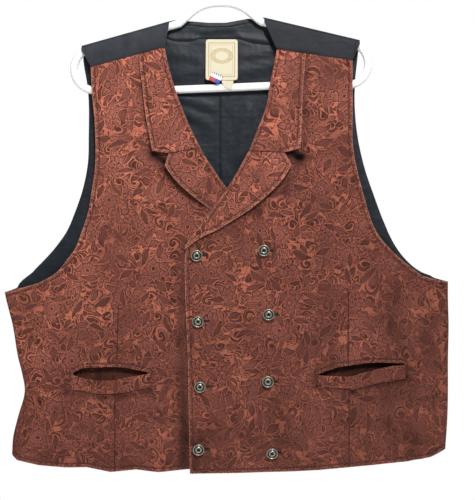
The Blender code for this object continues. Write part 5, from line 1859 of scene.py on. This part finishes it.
@dataclass
class BackHalf:
    """One half of the back with its lining: up the back, over the hanger's arm and down to the front."""

    side: str
    sign: int
    front: Line
    underarm: int
    armhole: Line
    hem: Line
    neck: Line
    finishes: Finishes

    def rows(self, top: float) -> list[tuple[float, float, float, float]]:
        """Return the rows: the front's side below the underarm, then the back's own armhole.

        Args:
            top: the height at which the centre seam ends.

        Returns:
            Outer x, outer z, inner x and inner z of each row.
        """
        outer = [tuple(row[:2]) for row in self.front[: self.underarm + 1]] + list(self.armhole)
        end_x = SHOULDER_ENDS[self.sign][1]
        outer.append((end_x, float(arm_axis(np.array(end_x)))))
        low = outer[0][1]
        heights = [CENTRE_HEM + (top - CENTRE_HEM) * (z - low) / (outer[-1][1] - low) for _, z in outer]
        seam_x = CENTRE_BACK + self.sign * SEAM_HALF
        return [(x, z, seam_x, height) for (x, z), height in zip(outer, heights)]

    def top_line(self, share: Array) -> Array:
        """Return the line where the flat part ends: under the neck edge, then the hanger arm.

        Args:
            share: shares from the centre seam to the armhole.

        Returns:
            X and Z at the shares.
        """
        neck = along([(x, z - NECK_STAND) for x, z in self.neck_line()])
        inner_end, outer_end = SHOULDER_ENDS[self.sign]
        along_arm = np.clip((share - SHOULDER_PART) / (1 - SHOULDER_PART), 0, 1)
        x = inner_end + (outer_end - inner_end) * along_arm
        arm = np.stack((x, arm_axis(x)), axis=-1)
        return np.where((share <= NECK_PART + 1e-9)[..., None], neck(share / NECK_PART), arm)

    def neck_line(self) -> list[tuple[float, float]]:
        """Return the neck edge, starting at the centre seam."""
        return [(CENTRE_BACK + self.sign * SEAM_HALF, self.neck[0][1]), *self.neck[1:]]

    def build_shell(self, seams: Seams) -> Piece:
        """Make the outer cloth.

        Args:
            seams: where its stitching is laid.

        Returns:
            The finished object.
        """
        hem = [(CENTRE_BACK + self.sign * SEAM_HALF, self.hem[0][1]), *self.hem[1:]]
        rows = self.rows(self.neck[0][1] - NECK_STAND)
        patch = Patch(rows, hem, None, (self.underarm,))
        patch.high = self.top_line
        up = patch.heights(PANEL_PITCH)
        underarm = float(patch.knots[self.underarm])
        across = panel_columns(patch, up, underarm)
        corner = int(np.searchsorted(across[-1], NECK_PART)) + 1
        across[:, :corner] *= NECK_PART / across[-1, corner - 1]
        flat = patch.grid(across, up)
        depth = panel_depth(patch, flat, up, underarm, Drape.back(flat[..., 0], flat[..., 1]))
        body = with_depth(flat, depth)
        top_row = body[-1]
        top_row[corner:, 1] = SHOULDER_DEPTH
        neck_edge = along(self.neck_line())
        shoulder = self.front[-1]
        seam = along([(x, z + SHOULDER_SEAM) for x, z in (shoulder[2:], shoulder[:2])])
        reach = np.clip((across[-1] - across[-1, corner]) / (1 - across[-1, corner]), 0.0, 1.0)
        rise = neck_edge(np.minimum(across[-1, :corner] / NECK_PART, 1.0))[:, 1] - top_row[:corner, 2]
        wrap = []
        for turn in np.linspace(0.0, math.pi, WRAP_STEPS + 1)[1:]:
            row = top_row.copy()
            row[corner:, 1] = SHOULDER_DEPTH * math.cos(turn)
            row[corner:, 2] += FOLD_RISE * math.sin(turn)
            row[:corner, 2] += rise * math.sin(min(turn, math.pi / 2))
            wrap.append(row)
        last = wrap[-1]
        goal = seam(reach)
        for share in np.linspace(0.0, 1.0, STRIP_STEPS + 1)[1:]:
            row = last.copy()
            row[corner:, 0] += (goal[corner:, 0] - last[corner:, 0]) * share
            row[corner:, 2] += (goal[corner:, 1] - last[corner:, 2]) * share
            wrap.append(row)
        points = np.concatenate((body, np.array(wrap)))
        first_front = len(body) - 1 + WRAP_STEPS // 2

        def keep(row: int, column: int) -> bool:
            """Tell whether a cell is cloth: the strip over the shoulder has no part at the neck."""
            return row < first_front or column >= corner

        arm = int(np.searchsorted(up, underarm - 1e-9))
        edges = [flat[0], flat[arm:, -1], np.array(self.neck_line())]
        cloth = ClothGrid(
            "back_" + self.side + "_cloth", points, BACK_WALL, 1, edges=edges, painted_shading_and_tone=STRIP_PAINTED_SHADING, keep=keep
        )
        piece = seat(cloth.build(self.finishes.charcoal), "back_cloth", "back_" + self.side)
        wide, long = np.ptp(flat[..., 0]) * METRES, (np.ptp(flat[..., 1]) + OVER_SHOULDER) * METRES
        cloth.area()
        middle = flat.reshape(-1, 2).mean(0)
        seams.run(piece, flat[0][1:-2], HEM_INSET, middle, 1)
        seams.run(piece, flat[arm:, -1][1:], EDGE_INSET, middle, 1)
        return piece

    def build_lining(self) -> Piece:
        """Make the lining, just inside the shell and clear of its side fold."""
        sign = self.sign
        line = sorted((x * sign, z) for x, z in FACING_LINE if x * sign > CENTRE_BACK * sign)
        top = line[0][1] - 0.1
        _, outer_end = SHOULDER_ENDS[sign]
        high = [(LINING_CENTRE + sign * SEAM_HALF, top)]
        high += [(x * sign, z - 0.1) for x, z in line]
        for x in (high[-1][0] + sign * 7.0, outer_end - sign * 1.5):
            high.append((x, float(arm_axis(np.array(x))) - 1.0))
        rows = []
        for index, (x, z, inner_x, inner_z) in enumerate(self.rows(top)):
            reach = LINING_SIDE if index <= self.underarm else LINING_ARMHOLE
            rows.append((x - sign * reach, z, inner_x + LINING_CENTRE - CENTRE_BACK, inner_z))
        rows[0] = (rows[0][0], rows[0][1] + LINING_HEM, rows[0][2], rows[0][3] + LINING_HEM)
        rows[-1] = (*high[-1], *high[0])
        patch = Patch(rows, None, high, (self.underarm,))
        flat = patch.grid(shares_with_corners(high, PANEL_PITCH), patch.heights(PANEL_PITCH * 1.4))
        x, z = flat[..., 0], flat[..., 1]
        depth = Drape.back(x, z) - BACK_WALL - GAP - LINING_LOOSE - fold_height(x, z, LINING_CREASES)
        cloth = ClothGrid("lining_" + self.side + "_cloth", with_depth(flat, depth), LINING_WALL, 1)
        piece = seat(cloth.build(self.finishes.lining), "lining", "lining_" + self.side)
        cloth.area()
        return piece


@dataclass
class NeckFacing:
    """The band that faces the back neck, from its stitched line up to the neck edge."""

    finishes: Finishes

    def build(self) -> Piece:
        """Make the band."""
        edge = np.array(RIGHT_NECK[::-1] + LEFT_NECK[1:])
        edge[0, 0] += 6.0
        edge[-1, 0] -= 6.0
        low, high = along(FACING_LINE), along(edge - np.array((0.0, 1.0)))
        shares = shares_with_corners(FACING_LINE, TRIM_PITCH)
        lowest, highest = low(shares), high(shares)
        flat = np.array([lowest + (highest - lowest) * up for up in np.linspace(0.0, 1.0, 9)])
        x, z = flat[..., 0], flat[..., 1]
        folds = fold_height(x, z, FACING_CREASES)
        points = with_depth(flat, Drape.back(x, z) - BACK_WALL - GAP - FACING_LOOSE - folds)
        cloth = ClothGrid("neck_facing_cloth", points, LINING_WALL, 1, edges=[flat[-1]])
        piece = seat(cloth.build(self.finishes.lining), "lining", "neck_facing")
        cloth.area()
        return piece


@dataclass
class RingButton:
    """A stamped metal button: a roped outer ring, a dark groove, an inner ring and a dark eye."""

    number: int
    x: float
    z: float
    tip: float
    finishes: Finishes
    sides: int = 60
    ropes: int = 20
    shank: float = 2.6
    section: tuple[tuple[float, float], ...] = (
        (0.0, 4.7), (1.3, 4.7), (2.0, 4.9), (2.4, 5.9), (2.9, 6.3), (3.7, 6.4), (4.5, 6.2),
        (5.0, 5.5), (5.3, 5.2), (6.3, 5.2), (6.7, 5.5), (7.0, 6.2), (7.5, 6.6), (8.1, 6.5),
        (8.6, 6.0), (8.75, 5.4), (8.4, 4.6), (7.0, 4.1), (3.0, 3.5), (2.6, 3.0), (2.6, 0.0),
    )

    def build(self) -> Piece:
        """Make the button, its shank on the left front's cloth and its face tipped down."""
        turns = np.linspace(0.0, 2 * math.pi, self.sides, endpoint=False)
        rings = []
        for radius, height in self.section[1:]:
            ripple = 0.16 * np.cos(turns * self.ropes) if radius > 6.9 and height > 5.9 else 0.0
            lifted = np.full(self.sides, height) + ripple
            rings.append(np.stack((radius * np.cos(turns), radius * np.sin(turns), lifted), axis=-1))
        verts = [(0.0, 0.0, self.section[0][1]), *map(tuple, np.concatenate(rings)), (0.0, 0.0, 0.0)]
        last = len(verts) - 1
        faces = []
        for side in range(self.sides):
            following = (side + 1) % self.sides
            faces.append((0, 1 + side, 1 + following))
            for ring in range(len(rings) - 1):
                start, below = 1 + ring * self.sides, 1 + (ring + 1) * self.sides
                faces.append((start + side, below + side, below + following, start + following))
            start = 1 + (len(rings) - 1) * self.sides
            faces.append((start + side, last, start + following))
        mesh = bpy.data.meshes.new("ring_button")
        places = np.array(verts)
        radii = np.hypot(places[:, 0], places[:, 1])
        tipped = math.radians(self.tip)
        depth = float(Drape.left_front(np.array(self.x), np.array(self.z)))
        stand = depth + GAP + self.shank * math.sin(tipped)
        lean = math.pi / 2 + tipped
        y = places[:, 1] * math.cos(lean) - places[:, 2] * math.sin(lean) - stand
        z = places[:, 1] * math.sin(lean) + places[:, 2] * math.cos(lean) + self.z
        placed = np.stack((places[:, 0] + self.x, y, z), axis=-1) * METRES
        mesh.from_pydata(placed.tolist(), [], faces)
        uv = mesh.uv_layers.new(name="trim")
        corners = np.empty(len(mesh.loops), dtype=np.int32)
        mesh.loops.foreach_get("vertex_index", corners)
        uv.data.foreach_set("uv", np.stack((radii[corners] * METRES, corners * 0.0), axis=-1).ravel())
        mesh.materials.append(self.finishes.nickel)
        mesh.shade_smooth()
        piece = stood(f"ring_button_{self.number}", mesh)
        shape = bmesh.new()
        shape.from_mesh(mesh)
        bmesh.ops.recalc_face_normals(shape, faces=shape.faces)
        shape.to_mesh(mesh)
        shape.free()
        return seat(piece, "button_metal", f"button_{self.number}")


@dataclass
class Buttonholes:
    """The worked slits that the buttons pass through: two rows of bars each.

    Attributes:
        finishes: the materials.
        reach: where a slit starts and ends to the right of its button.
        shorter: how much shorter the outer column's slits are.
        bars: how many bars a row has.
        apart: half the distance between the rows.
        drop: how far the slit lies below the button's middle.
        bar_width: half a bar's width, in half millimetres.
        bar_length: half its length, in half millimetres.
        proud: how far it stands off the cloth.
    """

    finishes: Finishes
    reach: tuple[float, float] = (6.0, 17.0)
    shorter: float = 3.0
    bars: int = 16
    apart: float = 0.95
    drop: float = 0.5
    bar_width: float = 0.8
    bar_length: float = 2.0
    proud: float = 0.15

    def build(self) -> Piece:
        """Make every buttonhole as one piece of thread."""
        shape = bmesh.new()
        for x, z, _ in BUTTONS:
            inner, outer = self.reach
            if x > 0:
                outer -= self.shorter
            for step in range(self.bars):
                at = x + inner + (outer - inner) * step / (self.bars - 1)
                for side in (-1, 1):
                    place_z = z + side * self.apart - self.drop
                    depth = float(Drape.left_front(np.array(at), np.array(place_z)))
                    made = bmesh.ops.create_uvsphere(shape, u_segments=6, v_segments=4, radius=0.5 * METRES)
                    for vert in made["verts"]:
                        vert.co.x = vert.co.x * self.bar_width + at * METRES
                        vert.co.z = vert.co.z * self.bar_length + place_z * METRES
                        vert.co.y = vert.co.y * self.bar_width - (depth + self.proud) * METRES
        mesh = bpy.data.meshes.new("buttonholes")
        shape.to_mesh(mesh)
        shape.free()
        mesh.materials.append(self.finishes.dark_thread)
        mesh.shade_smooth()
        piece = stood("buttonholes", mesh)
        return seat(piece, "floral_cloth")


@dataclass
class NeckLabels:
    """The main label, the size tab behind it and the folded ribbon at its corner."""

    finishes: Finishes

    def face_y(self, z: Array) -> Array:
        """Return the Y of the label's face at a height."""
        share = (LABEL_TOP_Z - z) / (LABEL_TOP_Z - LABEL_FOOT_Z)
        return LABEL_TOP_Y + (LABEL_FOOT_Y - LABEL_TOP_Y) * share

    def build(self) -> list[Piece]:
        """Make the three."""
        return [self.build_label(), self.build_size_tab(), self.build_ribbon()]

    def build_label(self) -> Piece:
        """Make the main label, with rounded corners and a slight curl."""
        corner = LABEL_CORNER
        ease = corner * (1 - np.cos(np.linspace(0.0, math.pi / 2, 6)))
        heights = np.concatenate(
            (LABEL_FOOT_Z + ease, np.linspace(LABEL_FOOT_Z + corner, LABEL_TOP_Z - corner, 22)[1:-1])
        )
        heights = np.concatenate((heights, LABEL_TOP_Z - ease[::-1]))
        middle, half = (LABEL_LEFT_X + LABEL_RIGHT_X) / 2, (LABEL_RIGHT_X - LABEL_LEFT_X) / 2
        rows = []
        for z in heights:
            off = max(0.0, corner - min(z - LABEL_FOOT_Z, LABEL_TOP_Z - z))
            cut = corner - math.sqrt(max(corner**2 - off**2, 0.0))
            x = np.linspace(LABEL_LEFT_X + cut, LABEL_RIGHT_X - cut, 16)
            curl = LABEL_CURL * ((x - middle) / half) ** 2 * smooth_step(LABEL_TOP_Z, LABEL_FOOT_Z, z)
            rows.append(np.stack((x, self.face_y(np.full(16, z)) - curl, np.full(16, z)), axis=-1))
        points = np.array(rows)
        bolt = (0.0, -middle, -(LABEL_TOP_Z + LABEL_FOOT_Z) / 2)
        cloth = ClothGrid("neck_label", points, LABEL_WALL, -1, bolt)
        piece = seat(cloth.build(self.finishes.label), "label_cloth", "label")
        return piece

    def build_size_tab(self) -> Piece:
        """Make the size tab, bare, with its corner turned."""
        table = np.array(SIZE_TAB, dtype=float)
        heights = np.linspace(table[0, 2], table[-1, 2], 10)
        low = table[::-1]
        left = np.interp(heights, low[:, 2], low[:, 0])
        right = np.interp(heights, low[:, 2], low[:, 1])
        y = np.interp(heights, low[:, 2], low[:, 3])
        x = left[:, None] + (right - left)[:, None] * np.linspace(0.0, 1.0, 8)
        slant = smooth_step(-172.0, -184.0, heights)[:, None] * np.linspace(2.5, -2.0, 8)
        points = np.stack((x, np.repeat(y[:, None], 8, 1), heights[:, None] + slant), axis=-1)
        cloth = ClothGrid("size_tab_cloth", points, TAB_WALL, -1, (0.0, 100.0, 100.0))
        piece = seat(cloth.build(self.finishes.label), "label_cloth", "size_tab")
        return piece

    def build_ribbon(self) -> Piece:
        """Make the small ribbon, turned a little and bowed."""
        width, height = RIBBON_SIZE
        x, z = np.meshgrid(np.linspace(-0.5, 0.5, 9) * width, np.linspace(-0.5, 0.5, 7) * height)
        place_x = RIBBON_CENTRE[0] + x * math.cos(RIBBON_TURN) - z * math.sin(RIBBON_TURN)
        place_z = RIBBON_CENTRE[1] + x * math.sin(RIBBON_TURN) + z * math.cos(RIBBON_TURN)
        y = self.face_y(place_z) - RIBBON_PROUD - 0.9
        points = np.stack((place_x, y - 0.6 * (1 - (x / width * 2) ** 2), place_z), axis=-1)
        turn = -math.degrees(RIBBON_TURN)
        away = math.radians(turn)
        centre_x = RIBBON_CENTRE[0] * math.cos(away) - RIBBON_CENTRE[1] * math.sin(away)
        centre_z = RIBBON_CENTRE[0] * math.sin(away) + RIBBON_CENTRE[1] * math.cos(away)
        cloth = ClothGrid("ribbon_tab_cloth", points, TAB_WALL, -1, (turn, -centre_x, -centre_z))
        piece = seat(cloth.build(self.finishes.ribbon), "ribbon", "ribbon_tab")
        return piece


@dataclass
class Hanger:
    """The tubular plastic hanger: a ring with a flat bar and sloping arms, and a hook."""

    finishes: Finishes

    def half_ring(self) -> list[tuple[float, float]]:
        """Return half of the ring, from the middle of its bar out and up to the neck."""
        centre_z = BAR_Z + END_RADIUS
        top_turn = math.pi / 2 - ARM_SLOPE
        tangent_z = centre_z + END_RADIUS * math.sin(top_turn)
        tangent_x = ARM_ROOT_X + (ARM_ROOT_Z - tangent_z) / math.tan(ARM_SLOPE)
        centre_x = tangent_x - END_RADIUS * math.cos(top_turn)
        points = [(x, BAR_Z) for x in np.linspace(0.0, centre_x, 12)]
        for turn in np.linspace(-math.pi / 2, top_turn, 28)[1:]:
            points.append((centre_x + END_RADIUS * math.cos(turn), centre_z + END_RADIUS * math.sin(turn)))
        points += [((tangent_x + ARM_ROOT_X) / 2, (tangent_z + ARM_ROOT_Z) / 2)]
        neck = np.array(((ARM_ROOT_X, ARM_ROOT_Z), *NECK_ARCH))
        eased = curve_through(corner_shares(neck), neck)
        return points + [tuple(point) for point in eased(np.linspace(0.0, 1.0, 15))]

    def bar_lean(self, x: float) -> float:
        """Return how far the bar is bent up at x: it leans a little more than the arms do."""
        return BAR_LEAN * x * float(1 - smooth_step(95.0, 150.0, abs(x)))

    def hook_line(self) -> list[tuple[float, float]]:
        """Return the hook's line: up from the neck, out to one side and over in a round bend."""
        centre_z = HOOK_RADIUS - HOOK_BEND_RADIUS
        line = list(HOOK_STEM)
        for degrees in np.linspace(-45.0, 205.0, 40):
            turn = math.radians(degrees)
            line.append((HOOK_BEND_RADIUS * math.cos(turn), centre_z + HOOK_BEND_RADIUS * math.sin(turn)))
        return line

    def tube(self, name: str, points: Line, radius: float, closed: bool) -> Piece:
        """Make a round tube along points in X and Z, tilted about the rail.

        Args:
            name: the object's name.
            points: the middle line.
            radius: the tube's radius.
            closed: whether its ends meet.

        Returns:
            The finished object.
        """
        curve = bpy.data.curves.new(name, "CURVE")
        curve.dimensions = "3D"
        curve.bevel_depth = radius * METRES
        curve.bevel_resolution = 6
        curve.use_fill_caps = not closed
        spline = curve.splines.new("POLY")
        spline.points.add(len(points) - 1)
        for point, (x, z) in zip(spline.points, points):
            point.co = (x * METRES, 0.0, z * METRES, 1.0)
        spline.use_cyclic_u = closed
        guide = stood(name, curve)
        guide.rotation_euler = (0.0, -HANGER_TILT, 0.0)
        bpy.context.view_layer.update()
        piece = plain(guide)
        shape = bmesh.new()
        shape.from_mesh(piece.data)
        bmesh.ops.remove_doubles(shape, verts=shape.verts, dist=0.00001)
        bmesh.ops.recalc_face_normals(shape, faces=shape.faces)
        shape.to_mesh(piece.data)
        shape.free()
        piece.data.materials.clear()
        piece.data.materials.append(self.finishes.plastic)
        piece.data.shade_smooth()
        return piece

    def build(self) -> list[Piece]:
        """Make the ring and the hook."""
        half = self.half_ring()
        ring = half + [(-x, z) for x, z in half[-2:0:-1]]
        ring = [(x, z + self.bar_lean(x) if z == BAR_Z else z) for x, z in ring]
        made = [
            self.tube("hanger_ring", ring, TUBE_RADIUS, True),
            self.tube("hanger_hook", self.hook_line(), HOOK_RADIUS, False),
        ]
        return [seat(piece, "hanger_plastic", "hanger") for piece in made]


@dataclass
class Vest:
    """The whole garment on its hanger."""

    finishes: Finishes = field(default_factory=Finishes)

    def build(self) -> None:
        """Make every piece in order, the stitching last."""
        done = self.finishes
        seams = Seams(done)
        fronts = (
            ("left", LEFT_FRONT, LEFT_HEM, LEFT_UNDERARM, LEFT_LAPEL_TIP, Drape.left_front, LEFT_DART),
            (
                *("right", RIGHT_FRONT, RIGHT_HEM, RIGHT_UNDERARM, RIGHT_LAPEL_TIP),
                *(Drape.right_front, RIGHT_DART),
            ),
        )
        pockets = {"left": (LEFT_WELT, LEFT_LIP), "right": (RIGHT_WELT, RIGHT_LIP)}
        for side, rows, hem, underarm, tip, depth, dart in fronts:
            pocket = Pocket(side, *pockets[side], depth, done, POCKET_BOLT)
            Front(side, rows, hem, underarm, tip, depth, dart, pocket, done).build(seams)
            pocket.build_welt(seams)
            pocket.build_bag()
        left, right = Drape.left_front, Drape.right_front
        lapels = (
            ("lapel_left", LEFT_LAPEL, None, LEFT_LAPEL_TOP, 9.0, 3.0, (2, 6), left, True, 0.24, 38),
            ("lapel_right", RIGHT_LAPEL, None, RIGHT_LAPEL_TOP, 11.0, 0.0, (2, 5), right, False, 0.02, -42),
            ("collar_left", LEFT_COLLAR, LEFT_GORGE, None, 8.5, 2.8, (5, 0), left, False, 0.09, 14),
            ("collar_right", RIGHT_COLLAR, RIGHT_GORGE, None, 8.5, 2.8, (5, 0), right, False, 0.08, -16),
        )
        for *shape, turn in lapels:
            Lapel(*shape, (turn, LAPEL_BOLT_X + LAPEL_BOLT_STEP * turn, LAPEL_BOLT_Z), done).build(seams)
        backs = (
            ("left", 1, LEFT_FRONT, LEFT_UNDERARM, LEFT_BACK_ARMHOLE, LEFT_BACK_HEM, LEFT_NECK),
            ("right", -1, RIGHT_FRONT, RIGHT_UNDERARM, RIGHT_BACK_ARMHOLE, RIGHT_BACK_HEM, RIGHT_NECK),
        )
        for shape in backs:
            half = BackHalf(*shape, done)
            half.build_shell(seams)
            half.build_lining()
        NeckFacing(done).build()
        for number, place in enumerate(BUTTONS, start=1):
            RingButton(number, *place, done).build()
        Buttonholes(done).build()
        NeckLabels(done).build()
        Hanger(done).build()
        for piece in seams.build():
            seat(piece, "floral_cloth" if piece.name.startswith("rust") else "back_cloth")


@dataclass
class Studio:
    """The camera at the photograph's angle, soft light, a white surround and a pale floor."""

    aim: tuple[float, float, float] = (27.75, -14.0, -425.7)
    distance: float = 1900.0
    frame_height: float = 746.4
    sensor: float = 36.0
    floor_z: float = -1260.0

    def build(self) -> None:
        """Make the camera, the lights, the surround and the floor."""
        camera = bpy.data.cameras.new("camera")
        camera.sensor_width = self.sensor
        camera.lens = self.sensor * self.distance / self.frame_height
        eye = stood("camera", camera)
        x, y, z = self.aim
        eye.location = (x * METRES, (y - self.distance) * METRES, z * METRES)
        eye.rotation_euler = (math.pi / 2, 0.0, 0.0)
        bpy.context.scene.camera = eye
        bpy.context.scene.view_settings.view_transform = "Standard"
        self.light("key", (0.4, -2.3, 1.35), 0.6, 86.0)
        self.light("fill", (-1.7, -1.9, 0.0), 1.4, 5.0)
        self.light("rear", (0.4, 1.9, 0.6), 1.4, 26.0)
        self.surround()
        self.floor()

    def light(self, name: str, place: tuple[float, float, float], size: float, power: float) -> None:
        """Add a soft square light that faces the vest's middle.

        Args:
            name: its name.
            place: where it stands, in metres.
            size: the length of its side.
            power: its watts.
        """
        lamp = bpy.data.lights.new(name, "AREA")
        lamp.size = size
        lamp.energy = power
        held = stood(name, lamp)
        aim = np.array(self.aim) * METRES
        held.location = place
        direction = aim - np.array(place)
        flat = math.hypot(direction[0], direction[1])
        pitch = math.atan2(direction[2], flat) + math.pi / 2
        held.rotation_euler = (pitch, 0.0, math.atan2(direction[1], direction[0]) - math.pi / 2)

    def surround(self) -> None:
        """Make a world that is white to the camera and a softer light to the vest."""
        world = bpy.data.worlds.new("surround")
        world.use_nodes = True
        bpy.context.scene.world = world
        r = Recipe(world.node_tree)
        world.node_tree.nodes.clear()
        seen = r.add("Background", (1.0, 1.0, 1.0, 1.0), 1.0)
        soft = r.add("Background", (1.0, 1.0, 1.0, 1.0), 0.33)
        ray = r.add("LightPath", out="Is Camera Ray")
        both = r.add("MixShader", ray, soft, seen)
        r.add("OutputWorld", both)

    def floor(self) -> None:
        """Make the pale floor, well below the hem."""
        shape = bmesh.new()
        bmesh.ops.create_circle(shape, cap_ends=True, segments=64, radius=2.0)
        bmesh.ops.translate(shape, verts=shape.verts, vec=(0.0, 0.0, self.floor_z * METRES))
        mesh = bpy.data.meshes.new("floor")
        shape.to_mesh(mesh)
        shape.free()
        paint = bpy.data.materials.new("pale_floor")
        paint.use_nodes = True
        shader = paint.node_tree.nodes["Principled BSDF"]
        shader.inputs["Base Color"].default_value = linear("#E9E9E7")
        shader.inputs["Roughness"].default_value = 0.9
        mesh.materials.append(paint)
        floor = stood("floor", mesh)


def main() -> None:
    """Load the frame, build the vest and its setting."""
    logging.basicConfig(level=logging.INFO, format="%(message)s")
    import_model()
    Vest().build()
    Studio().build()


if __name__ == "__main__":
    main()
